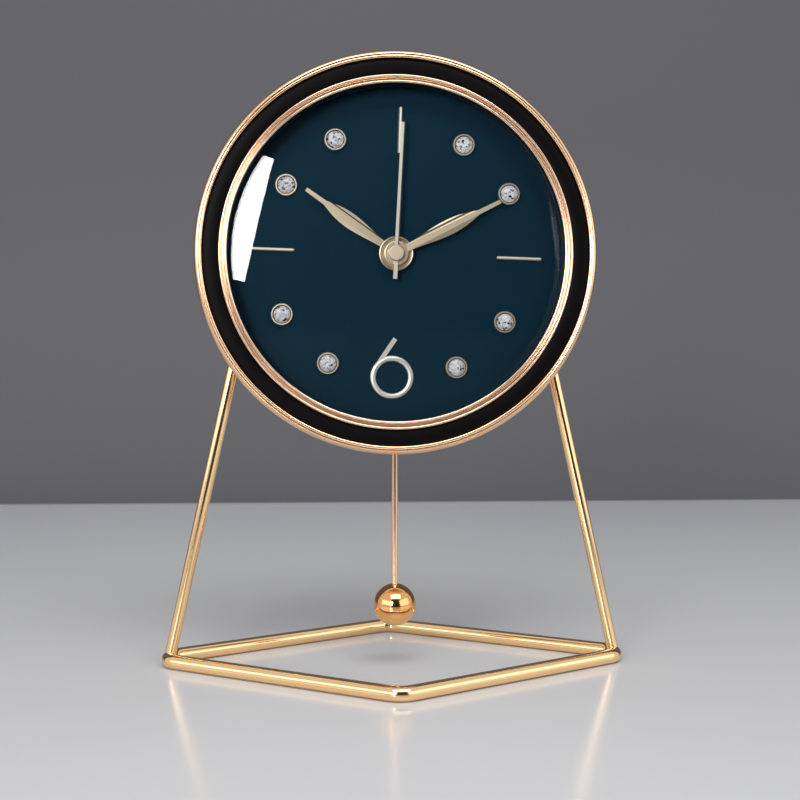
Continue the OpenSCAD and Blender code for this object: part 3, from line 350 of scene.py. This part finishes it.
def plated(name, tint, rough=0.10, spread=0.05, grain=0.06, shaded_wall=None):
    """Polished plate: tiny wipe marks, and a tint that drifts a little.

    The last argument, when given, is the radius and the front face of a ring's inner wall, which
    is made rough and painted near-black as shade.
    """
    made = Finish(name)
    cloud = made.noise(made.place(), 55.0, 3.0)
    marks = made.noise(made.place(scale=(1, 1, 6)), 900.0, 2.0)
    base = made.mix(cloud, shade(tint, 1 - grain), shade(tint, 1 + grain))
    dull = 0.0
    if shaded_wall:
        # painted shade: inside that radius and behind the lip the ring turns near-black and
        # rougher
        x, y, z = made.parts(made.place(DIAL_CENTRE))
        dull = ((x * x + z * z) ** 0.5 < shaded_wall[0]) * (y > shaded_wall[1] - DIAL_CENTRE.y)
        base = made.mix(dull, base, WALL_SHADE_TINT)
    made.set(
        Base_Color=base,
        Metallic=1.0,
        Roughness=cloud * spread + marks * spread + dull * 0.4 + (rough - spread),
        Normal=made.bump(marks, 0.000001, 0.2),
    )
    return made.material


def hand_plate(name, tint, angle, side, groove, hub, cap=None):
    """Champagne plate: brushed, with a painted shadow line along one side and a polished hub.

    The painted shadow line lies between the two distances of groove from the hand's middle, beyond
    the hub's radius. A cap is the tint of a matte disc in the hub's middle.
    """
    made = Finish(name)
    streaks = made.noise(made.place(DIAL_CENTRE, (0, -angle, 0), (0.06, 1, 1)), 2600.0, 2.0, 0.6)
    across, _, along = made.parts(made.place(DIAL_CENTRE, (0, -angle, 0)))
    # painted shadow: a dark line along one side of the hand, beyond the hub, in 0.12 of the tint
    line = (across * side > groove[0]) * (across * side < groove[1]) * (along > hub)
    base = made.mix(streaks, shade(tint, 0.95), shade(tint, 1.04))
    base = made.mix(line, base, shade(tint, 0.12))
    from_hub = (across * across + along * along) ** 0.5
    rough = streaks * 0.06 + 0.36
    if cap:
        inside = from_hub < CAP_RADIUS
        base = made.mix(inside, base, cap)
        rough = rough + inside * 0.08
    else:
        rough = rough - (from_hub < hub) * 0.07
    made.set(
        Base_Color=base,
        Metallic=1.0,
        Roughness=rough,
        Normal=made.bump(streaks, 0.000002, 0.2),
    )
    return made.material


def lacquer(name, tint):
    """Deep black satin lacquer with a faint orange peel."""
    made = Finish(name)
    peel = made.noise(made.place(), 420.0, 2.0)
    haze = made.noise(made.place(), 60.0, 3.0)
    made.set(
        Base_Color=made.mix(haze, tint, shade(tint, 1.8)),
        Roughness=haze * 0.10 + 0.40,
        Specular_IOR_Level=0.06,
        Normal=made.bump(peel, 0.000012, 0.25),
    )
    return made.material


def dial_paint(name, tint):
    """Satin blue paint: drifts a little in tone, with a faint orange peel."""
    made = Finish(name)
    peel = made.noise(made.place(), 300.0, 2.0)
    drift = made.noise(made.place(), 18.0, 2.0)
    made.set(
        Base_Color=made.mix(peel * 0.3 + drift * 0.7, shade(tint, 0.80), shade(tint, 1.22)),
        Specular_IOR_Level=0.05,
        Roughness=drift * 0.08 + 0.46,
        Normal=made.bump(peel, 0.000004, 0.2),
    )
    return made.material


def moulded(name, tint, rough=0.55, grain=1500.0, depth=0.00003):
    """Moulded plastic or rubber: an eroded grain."""
    made = Finish(name)
    pits = made.noise(made.place(), grain, 3.0)
    drift = made.noise(made.place(), 30.0, 2.0)
    made.set(
        Base_Color=made.mix(drift, shade(tint, 0.8), shade(tint, 1.25)),
        Roughness=pits * 0.2 + (rough - 0.1),
        Normal=made.bump(pits, depth, 0.5),
    )
    return made.material


def turned_metal(name, tint, rough=0.24):
    """Nickel or brass with fine drawn lines."""
    made = Finish(name)
    lines = made.noise(made.place(scale=(1, 14, 1)), 1500.0, 2.0)
    cloud = made.noise(made.place(), 120.0, 2.0)
    made.set(
        Base_Color=made.mix(cloud, shade(tint, 0.85), shade(tint, 1.1)),
        Metallic=1.0,
        Roughness=lines * 0.16 + (rough - 0.08),
        Normal=made.bump(lines, 0.00001, 0.3),
    )
    return made.material


def wound_wire(name, tint, node, axis, pitch=0.00025):
    """Enamelled wire, wound side by side, with painted shade in the gaps between turns."""
    made = Finish(name)
    centre = middle(node)
    x, y, z = made.parts(made.place(centre))
    run = x if axis == "X" else (x * x + z * z) ** 0.5
    # a wave across the turns: its troughs, the gaps between turns, get painted shade at 0.35 of
    # the tint and a dip in the bump
    turns = (run * (math.tau / pitch)).wave() * 0.5 + 0.5
    cloud = made.noise(made.place(), 400.0, 2.0)
    made.set(
        Base_Color=made.mix(turns, shade(tint, 0.35), tint),
        Metallic=0.8,
        Roughness=cloud * 0.2 + 0.2,
        Normal=made.bump(turns, 0.00008, 0.8),
    )
    return made.material


def board_mask(name):
    """Green solder mask with paler tracks under it."""
    made = Finish(name)
    cells = made.node(
        "ShaderNodeTexBrick", {"offset": 0.37},
        Vector=made.place(turn=(math.pi / 2, 0, 0)), Scale=420.0,
    )
    tracks = Sum(made.tree, cells.outputs["Fac"])
    made.set(
        Base_Color=made.mix(tracks, (0.012, 0.10, 0.045), (0.04, 0.22, 0.10)),
        Roughness=0.32,
        Coat_Weight=0.5,
        Normal=made.bump(tracks, 0.00003, 0.6),
    )
    return made.material


def clear_glass(name):
    """Clear coated glass: reflects weakly at its own angle and lets the dial show."""
    made = Finish(name)
    smear = made.noise(made.place(), 25.0, 2.0)
    glossy = made.node("ShaderNodeBsdfGlossy", Color=(1, 1, 1), Roughness=smear * 0.004)
    clear = made.node("ShaderNodeBsdfTransparent", Color=(0.985, 0.99, 0.99))
    angle = made.node("ShaderNodeFresnel", IOR=1.5)
    part = Sum(made.tree, angle.outputs[0]) * GLASS_SHARE
    blend = made.node("ShaderNodeMixShader", Fac=part)
    made.tree.links.new(clear.outputs[0], blend.inputs[1])
    made.tree.links.new(glossy.outputs[0], blend.inputs[2])
    made.tree.links.new(blend.outputs[0], made.output.inputs["Surface"])
    made.tree.nodes.remove(made.shader)
    return made.material


def cut_stone(name):
    """Clear stone over a foil, its facets painted as glints and reflections: pale, a few of them
    dark.
    """
    made = Finish(name)
    facets = made.node("ShaderNodeTexVoronoi", Vector=made.place(), Scale=950.0, Randomness=1.0)
    red = made.node("ShaderNodeSeparateColor", Color=facets.outputs["Color"]).outputs[0]
    # painted glints and reflections: each facet pale, a few of them dark
    steps = [
        (0.0, (0.02, 0.02, 0.03)),
        (0.08, (0.26, 0.25, 0.28)),
        (0.17, (0.62, 0.60, 0.63)),
        (0.34, (0.84, 0.82, 0.85)),
        (0.62, (0.97, 0.96, 0.99)),
    ]
    glint = made.node("ShaderNodeValToRGB", {"stops": steps}, Fac=red)
    glint.color_ramp.interpolation = "CONSTANT"
    made.set(
        Base_Color=glint.outputs[0],
        Roughness=Sum(made.tree, red) * 0.15 + 0.10,
        Coat_Weight=0.5,
        Coat_Roughness=0.05,
        Normal=made.bump(Sum(made.tree, facets.outputs["Distance"]), 0.0002, 0.4),
    )
    return made.material


def battery_sleeve(name, tint, low_x, high_x):
    """Plain sleeve: dark body, a pale line and a copper coloured band at the button's end."""
    made = Finish(name)
    reach = high_x - low_x
    band_start, line_middle, line_half = 0.74, 0.735, 0.0004
    x = made.parts(made.place())[0]
    band = x > low_x + reach * band_start
    line = (x - (low_x + reach * line_middle)).size() < line_half
    scuffs = made.noise(made.place(), 700.0, 3.0)
    body = made.mix(band, tint, (0.62, 0.30, 0.12))
    made.set(
        Base_Color=made.mix(line, body, (0.8, 0.8, 0.8)),
        Metallic=0.4,
        Roughness=scuffs * 0.15 + 0.22,
        Coat_Weight=0.6,
        Normal=made.bump(scuffs, 0.00001, 0.3),
    )
    return made.material


# Geometry helpers


def dress(material, *nodes):
    """Gives CAD nodes a material."""
    for node in nodes:
        mesh = NODES[node].data
        mesh.materials.clear()
        mesh.materials.append(material)


def add_piece(name, made, body, slot, material, *replaced):
    """Turns a bmesh into a piece that rides on a body."""
    mesh = bpy.data.meshes.new(name)
    bmesh.ops.remove_doubles(made, verts=made.verts, dist=0.000001)
    bmesh.ops.recalc_face_normals(made, faces=made.faces)
    made.to_mesh(mesh)
    made.free()
    piece = bpy.data.objects.new(name, mesh)
    bpy.context.scene.collection.objects.link(piece)
    mesh.materials.append(material)
    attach(piece, body)
    if replaced:
        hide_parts(*replaced)
    return piece


def bow(centre, radii, start, end, steps=20):
    """Points of an elliptic arc in a ring's section: radius, and depth behind the front."""
    turns = [math.radians(start + (end - start) * step / steps) for step in range(steps + 1)]
    return [
        (centre[0] + radii[0] * math.cos(turn), centre[1] + radii[1] * math.sin(turn))
        for turn in turns
    ]


def spun(outline, steps, closed):
    """Turns a section, given as radius and depth, about the head's axis."""
    made = bmesh.new()
    verts = [made.verts.new((radius, depth, 0)) for radius, depth in outline]
    follow = verts[1:] + verts[:1] if closed else verts[1:]
    edges = [made.edges.new(pair) for pair in zip(verts, follow)]
    bmesh.ops.spin(
        made, geom=verts + edges, cent=(0, 0, 0), axis=(0, 1, 0), angle=math.tau, steps=steps,
        use_merge=True,
    )
    bmesh.ops.translate(made, verts=made.verts, vec=(DIAL_CENTRE.x, 0, DIAL_CENTRE.z))
    return made


def turned_ring(name, outline, material, node):
    """A ring turned finely from its closed section, in place of the CAD ring."""
    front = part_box(node)[0][1]
    made = spun([(radius, front + depth) for radius, depth in outline], RING_STEPS, True)
    soften(add_piece(name, made, ROOT, "case_gold", material, node))


def soften(piece):
    """Smooth shading up to a crease."""
    for face in piece.data.polygons:
        face.use_smooth = True
    piece.data.set_sharp_from_angle(angle=math.radians(CREASE))


def on_dial(angle, radius, height):
    """Matrix of a spot on the dial: Z points out of the dial, Y away from its centre."""
    turn = Matrix.Rotation(angle, 4, "Y")
    stand = Matrix.Rotation(math.pi / 2, 4, "X")
    spot = turn @ Vector((0, 0, radius))
    place = Vector((DIAL_CENTRE.x + spot.x, DIAL_FRONT - height, DIAL_CENTRE.z + spot.z))
    return Matrix.Translation(place) @ turn @ stand


def stone_spots(height):
    """The spots of the stones, at a height above the dial."""
    return [
        on_dial(hour * math.tau / 12 + DIAL_TURN, STONE_CIRCLE, height) for hour in STONE_HOURS
    ]


# Operators


class CLOCK_OT_stand(bpy.types.Operator):
    """Finish the base rod and the legs"""

    bl_idname = "clock.stand"
    bl_label = "Stand"

    def execute(self, context):
        tint = finish_of(context).stand_gold
        gold = plated("stand_gold", tint, rough=0.11, spread=0.02, grain=0.04)
        dress(gold, "base_frame", "left_leg", "right_leg")
        return {"FINISHED"}


class CLOCK_OT_case(bpy.types.Operator):
    """Finish the rings, the bezel, the drum, the rear cover, the screws and the glass"""

    bl_idname = "clock.case"
    bl_label = "Case"

    def execute(self, context):
        finish = finish_of(context)
        polish = {"rough": 0.20, "spread": 0.015, "grain": 0.03}
        gold = plated("case_gold", finish.case_gold, **polish)
        dress(gold, "case_drum")
        self.rim(gold)
        # the ring's inner wall behind its bright lip is painted near-black as shade
        wall = (RING_WALL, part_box("inner_ring")[0][1] + RING_LIP)
        self.ring(plated("ring_gold", finish.ring_gold, shaded_wall=wall, **polish))
        dress(lacquer("black_lacquer", finish.lacquer), "front_frame")
        dress(moulded("cover_black", finish.housing), "back_cover", "retainer_ring")
        self.glass()
        dress(moulded("gasket_rubber", RUBBER, 0.7), "glass_gasket")
        dress(moulded("spacer_blue", (0.004, 0.028, 0.052), 0.6), "spacer_ring")
        nickel = turned_metal("screw_nickel", (0.62, 0.62, 0.64))
        dress(nickel, "retainer_screws", "cover_screws", "leg_screws")
        return {"FINISHED"}

    def rim(self, gold):
        """The rim: a bead beside the black band, then a slope that rolls over to the side.

        The foot, shoulder, seat and back are depths behind the front.
        """
        width = 0.00445
        bead = 0.00086
        slope = (0.002426, 0.0055)
        skirt = 0.0012
        ledge = 0.0011
        foot, shoulder, seat, back = 0.0026, 0.0034, 0.0065, 0.009
        edge = span("outer_rim").x / 2
        inside = edge - width
        outline = [(inside, foot)]
        outline += bow((inside + bead, bead), (bead, bead), 180, 308.5)
        outline += bow((edge - slope[0], slope[1]), slope, 264, 360, 28)
        outline += [(edge, back), (edge - skirt, back), (edge - skirt, seat)]
        outline += [(inside + ledge, shoulder)]
        turned_ring("turned_rim", outline, gold, "outer_rim")

    def ring(self, gold):
        """The ring around the dial: two ridges with a groove, and the skirt down to the glass.

        The flange and the foot are depths behind the front.
        """
        width = 0.0041
        ridge = 0.000625
        dip = 0.0011
        skirt = 0.002
        flange, foot = 0.0035, 0.006
        edge = span("inner_ring").x / 2
        opening = edge - width
        groove = ((opening + edge) / 2, ridge), (width / 2 - 2 * ridge, dip)
        outline = [(opening, foot)]
        outline += bow((opening + ridge, ridge), (ridge, ridge), 180, 360)
        outline += bow(*groove, 180, 0)
        outline += bow((edge - ridge, ridge), (ridge, ridge), 180, 360)
        outline += [(edge, flange), (opening + skirt, flange), (opening + skirt, foot)]
        turned_ring("turned_ring", outline, gold, "inner_ring")

    def glass(self):
        """The domed pane, turned finely enough for clean reflections."""
        low, high = (Vector(corner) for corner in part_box("glass"))
        seat = (high.x - low.x) / 2
        rise = high.y - low.y - GLASS_PANE
        dome = (seat * seat + rise * rise) / (2 * rise)
        outside = self.cap(dome, low.y, math.asin(seat / dome))
        back = low.y + GLASS_PANE
        inside = self.cap(dome - GLASS_PANE, back, math.asin((seat - GLASS_SEAT) / dome))
        made = spun(outside + inside[::-1], GLASS_STEPS, False)
        soften(add_piece("dome_glass", made, ROOT, "glass", clear_glass("dial_glass"), "glass"))

    def cap(self, radius, front, half, steps=40):
        """Section of a spherical cap, from its middle out to half its angle."""
        turns = [half * step / steps for step in range(steps + 1)]
        return [
            (radius * math.sin(turn), front + radius * (1 - math.cos(turn))) for turn in turns
        ]


class CLOCK_OT_dial(bpy.types.Operator):
    """Finish the dial, its bars, its numeral and the stones' cups"""

    bl_idname = "clock.dial"
    bl_label = "Dial"

    def execute(self, context):
        finish = finish_of(context)
        dress(dial_paint("dial_blue", finish.dial_blue), "dial")
        dress(plated("marker_gold", finish.marker_gold, rough=0.55), "marker_3", "marker_9")
        dress(plated("pale_gold", finish.pale_gold, rough=0.5), "marker_12")
        dress(plated("numeral_gold", finish.pale_gold, rough=0.38), "numeral_6")
        dress(plated("cup_gold", finish.cup_gold, rough=0.40), "crystal_cups")
        return {"FINISHED"}


class CLOCK_OT_stones(bpy.types.Operator):
    """Set a cut stone in each cup on the dial"""

    bl_idname = "clock.stones"
    bl_label = "Stones"

    def execute(self, context):
        sizes = context.scene.clock_stones
        facets = 8
        foot = STONE_RADIUS * 0.97
        crown = (sizes.girdle + sizes.height) * 0.56
        rings = (
            (2 * facets, foot, 0.0, 0.0),
            (2 * facets, STONE_RADIUS, sizes.girdle, 0.0),
            (facets, STONE_RADIUS * sizes.crown, crown, math.pi / facets),
            (facets, STONE_RADIUS * sizes.table, sizes.height, 0.0),
        )
        made = bmesh.new()
        for spot in stone_spots(CUP_FLOOR):
            verts = []
            for segments, radius, height, turn in rings:
                verts += self.circle(made, spot, segments, radius, height, turn)
            bmesh.ops.convex_hull(made, input=verts)
        add_piece("cut_stones", made, ROOT, "crystal", cut_stone("cut_stone"), "crystals")
        # A dark ring round each stone in its cup: painted shadow
        shadow_rings = bmesh.new()
        for spot in stone_spots(CUP_FRONT):
            verts = []
            for radius, height in SEAT_SHADOW_EDGES:
                verts += self.circle(shadow_rings, spot, 48, radius, height)
            edges = {edge for vert in verts for edge in vert.link_edges}
            bmesh.ops.bridge_loops(shadow_rings, edges=list(edges))
        dark = moulded("seat_shadow", (0.02, 0.018, 0.015), 0.5)
        add_piece("stone_seat_shadows", shadow_rings, ROOT, "marker_gold", dark)
        return {"FINISHED"}

    def circle(self, made, spot, segments, radius, height, turn=0.0):
        """The vertices of a circle parallel to the dial, at a height above a spot."""
        at = spot @ Matrix.Translation((0, 0, height)) @ Matrix.Rotation(turn, 4, "Z")
        ring = bmesh.ops.create_circle(made, segments=segments, radius=radius, matrix=at)
        return ring["verts"]


class CLOCK_OT_hands(bpy.types.Operator):
    """Finish the three hands: brushed, with a painted shadow line along one side, the hour hand
    painted darker and the minute hand lighter as shade and light, and a matte cap
    """

    bl_idname = "clock.hands"
    bl_label = "Hands"

    def execute(self, context):
        finish = finish_of(context)
        # The hour hand's tint is painted darker and the minute hand's lighter: painted shade and
        # light on one metal.
        hour = hand_plate(
            "hour_gold", shade(finish.hand_gold, 0.77), HOUR_ANGLE,
            side=1, groove=(0.0017, 0.0024), hub=0.0088,
        )
        minute = hand_plate(
            "minute_gold", shade(finish.hand_gold, 1.1), MINUTE_ANGLE,
            side=-1, groove=(0.0019, 0.0030), hub=0.0062,
        )
        second = hand_plate(
            "second_gold", finish.second_gold, SECOND_ANGLE,
            side=1, groove=(0.0005, 0.002), hub=CAP_RADIUS, cap=finish.cap_gold,
        )
        dress(hour, "hour_hand")
        dress(minute, "minute_hand")
        dress(second, "second_hand")
        return {"FINISHED"}


class CLOCK_OT_movement(bpy.types.Operator):
    """Finish the movement, its wheels and its electric parts"""

    bl_idname = "clock.movement"
    bl_label = "Movement"

    def execute(self, context):
        finish = finish_of(context)
        dress(
            moulded("housing_black", finish.housing, 0.5, 1100.0),
            "movement_base", "movement_lid", "pendulum_housing",
        )
        dress(
            moulded("gear_white", finish.gear, 0.4, 2400.0, 0.00001),
            "hour_wheel", "centre_wheel", "second_wheel", "minute_wheel", "third_wheel",
            "intermediate_wheel", "setting_knob", "pendulum_arm",
        )
        metals = (
            ("magnet_nickel", (0.5, 0.5, 0.52), 0.24, ("rotor", "pendulum_magnet")),
            ("stator_sheet", (0.42, 0.42, 0.44), 0.35, ("stator",)),
            ("contact_nickel", (0.66, 0.66, 0.68), 0.24, ("contact_positive", "contact_negative")),
            ("pin_steel", (0.58, 0.58, 0.6), 0.2, ("pendulum_pin", "quartz_crystal")),
            ("fitting_brass", (0.72, 0.53, 0.24), 0.25, ("brass_washer", "dial_nut")),
        )
        for name, tint, rough, nodes in metals:
            dress(turned_metal(name, tint, rough), *nodes)
        dress(moulded("washer_rubber", RUBBER, 0.75), "rubber_washer")
        dress(wound_wire("drive_winding", COPPER, "drive_coil", "X"), "drive_coil")
        dress(wound_wire("swing_winding", COPPER, "pendulum_coil", "R"), "pendulum_coil")
        dress(board_mask("board_green"), "circuit_board")
        low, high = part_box("battery")
        dress(battery_sleeve("battery_sleeve", finish.battery, low[0], high[0]), "battery")
        return {"FINISHED"}


class CLOCK_OT_pendulum(bpy.types.Operator):
    """Finish the pendulum's rod and bob"""

    bl_idname = "clock.pendulum"
    bl_label = "Pendulum"

    def execute(self, context):
        finish = finish_of(context)
        dress(plated("rod_copper", finish.rod_copper, rough=0.14), "pendulum_rod")
        dress(plated("bob_gold", finish.bob_gold, rough=0.09, spread=0.03), "pendulum_bob")
        return {"FINISHED"}


def area_lamp(name, place, aim, width, height, power):
    """A rectangular lamp at a place, turned to face a point."""
    data = bpy.data.lights.new(name, "AREA")
    data.shape = "RECTANGLE"
    data.size = width
    data.size_y = height
    data.energy = power
    lamp = bpy.data.objects.new(name, data)
    lamp.location = place
    lamp.rotation_euler = (Vector(aim) - Vector(place)).to_track_quat("-Z", "Y").to_euler()
    bpy.context.scene.collection.objects.link(lamp)
    return lamp


def staged(name, made, material):
    """Turns a bmesh into a sheet of the stage."""
    mesh = bpy.data.meshes.new(name)
    made.to_mesh(mesh)
    made.free()
    mesh.materials.append(material)
    sheet = bpy.data.objects.new(name, mesh)
    bpy.context.scene.collection.objects.link(sheet)


class CLOCK_OT_stage(bpy.types.Operator):
    """Set the table top, the backdrop, the screen, the lamps and the camera"""

    bl_idname = "clock.stage"
    bl_label = "Stage"

    def execute(self, context):
        finish = finish_of(context)
        sizes = context.scene.clock_stage
        self.sweep(finish.floor, finish.wall)
        self.screen(finish.wall)
        self.lamps(sizes)
        self.world(sizes)
        self.camera(context, sizes)
        return {"FINISHED"}

    def sweep(self, tint, wall):
        """One sheet: dark in front, then a pale table top that bends up into the backdrop."""
        rise = WALL_DEPTH - WALL_BEND
        steps = 12
        outline = [(STAGE_FRONT, 0), (rise, 0)]
        for step in range(1, steps + 1):
            turn = step * math.pi / (2 * steps)
            depth = rise + WALL_BEND * math.sin(turn)
            outline.append((depth, WALL_BEND - WALL_BEND * math.cos(turn)))
        outline.append((WALL_DEPTH, WALL_HEIGHT))
        made = bmesh.new()
        verts = [made.verts.new((-STAGE_HALF, depth, height)) for depth, height in outline]
        edges = [made.edges.new(pair) for pair in zip(verts, verts[1:])]
        grown = bmesh.ops.extrude_edge_only(made, edges=edges)["geom"]
        moved = [item for item in grown if isinstance(item, bmesh.types.BMVert)]
        bmesh.ops.translate(made, verts=moved, vec=(2 * STAGE_HALF, 0, 0))
        bmesh.ops.recalc_face_normals(made, faces=made.faces)
        for face in made.faces:
            face.smooth = True
        staged("sweep", made, self.sweep_paint(tint, wall, rise))

    def sweep_paint(self, tint, wall, rise):
        """Satin paint: the table's pale tint between the dark front and the dull backdrop."""
        paint = Finish("sweep_paint")
        cloud = paint.noise(paint.place(), 6.0, 2.0)
        pale = paint.mix(cloud, shade(tint, 0.98), shade(tint, 1.02))
        depth = paint.parts(paint.place())[1]
        front = depth < TABLE_FRONT
        beyond = paint.node("ShaderNodeClamp", Value=(depth - rise) * 60.0 + front).outputs[0]
        paint.set(
            Base_Color=paint.mix(front, paint.mix(beyond, pale, wall), shade(wall, 0.3)),
            Roughness=Sum(paint.tree, beyond) * 0.7 + 0.16,
            Specular_IOR_Level=0.24,
        )
        return paint.material

    def screen(self, tint):
        """A dark screen far behind the camera, which the domed glass mirrors."""
        made = bmesh.new()
        place = Matrix.Translation(SCREEN_PLACE) @ Matrix.Rotation(math.pi / 2, 4, "X")
        bmesh.ops.create_grid(made, x_segments=1, y_segments=1, size=1.0)
        bmesh.ops.scale(made, verts=made.verts, vec=(*SCREEN_HALF, 1))
        bmesh.ops.transform(made, verts=made.verts, matrix=place)
        staged("screen", made, moulded("screen_cloth", shade(tint, 0.4), 0.9, 300.0))

    def lamps(self, sizes):
        """A near window pane, a row of panes to its left, a lamp on the right and one above.

        Each lamp has a place, a point that it faces, a width, a height and a power.
        """
        pane = area_lamp(
            "window_lamp", (-0.768, -1.9, 0.588), LAMP_AIM, 0.42, 0.63, sizes.window
        )
        pane.rotation_euler.rotate_axis("Z", math.radians(-11))
        area_lamp("pane_lamp", (-1.41, -1.13, 0.54), LAMP_AIM, 1.9, 0.62, sizes.panes)
        area_lamp("side_lamp", (1.46, -1.1, 0.60), LAMP_AIM, 2.0, 1.0, sizes.side)
        area_lamp("top_lamp", (0.1, -1.1, 1.55), (0, 0, 0.1), 1.6, 0.7, sizes.top)

    def world(self, sizes):
        """Plain, even surroundings and a plain view of the colours."""
        world = bpy.data.worlds.new("room")
        world.use_nodes = True
        plain = world.node_tree.nodes["Background"]
        plain.inputs["Color"].default_value = (0.96, 0.97, 1.0, 1)
        plain.inputs["Strength"].default_value = sizes.world
        bpy.context.scene.world = world
        bpy.context.scene.view_settings.view_transform = "Standard"

    def camera(self, context, sizes):
        """A level camera with a raised lens, left of the front."""
        data = bpy.data.cameras.new("camera")
        data.sensor_width = 36.0
        data.lens = sizes.focal
        data.shift_y = sizes.rise
        camera = bpy.data.objects.new("camera", data)
        away = sizes.distance
        side, front = math.sin(sizes.azimuth), math.cos(sizes.azimuth)
        camera.location = (-away * side, -away * front, sizes.height)
        heading = -sizes.azimuth - sizes.turn
        camera.rotation_euler = (math.pi / 2, 0, heading)
        context.scene.collection.objects.link(camera)
        context.scene.camera = camera


class CLOCK_PT_panel(bpy.types.Panel):
    """The clock's operators, in the sidebar"""

    bl_idname = "CLOCK_PT_panel"
    bl_label = "Desk Clock"
    bl_space_type = "VIEW_3D"
    bl_region_type = "UI"
    bl_category = "Clock"

    def draw(self, context):
        for operator in OPERATORS:
            self.layout.operator(operator.bl_idname)


SETTINGS = (ClockFinish, StoneSizes, StageSizes)
OPERATORS = (
    CLOCK_OT_stand,
    CLOCK_OT_case,
    CLOCK_OT_dial,
    CLOCK_OT_stones,
    CLOCK_OT_hands,
    CLOCK_OT_movement,
    CLOCK_OT_pendulum,
    CLOCK_OT_stage,
)


def register():
    for item in (*SETTINGS, *OPERATORS, CLOCK_PT_panel):
        bpy.utils.register_class(item)
    bpy.types.Scene.clock_finish = PointerProperty(type=ClockFinish)
    bpy.types.Scene.clock_stones = PointerProperty(type=StoneSizes)
    bpy.types.Scene.clock_stage = PointerProperty(type=StageSizes)


def unregister():
    del bpy.types.Scene.clock_finish
    del bpy.types.Scene.clock_stones
    del bpy.types.Scene.clock_stage
    for item in reversed((*SETTINGS, *OPERATORS, CLOCK_PT_panel)):
        bpy.utils.unregister_class(item)


def main():
    register()
    bpy.ops.clock.stand()
    bpy.ops.clock.case()
    bpy.ops.clock.dial()
    bpy.ops.clock.stones()
    bpy.ops.clock.hands()
    bpy.ops.clock.movement()
    bpy.ops.clock.pendulum()
    bpy.ops.clock.stage()
    bpy.context.view_layer.update()


if __name__ == "__main__":
    main()
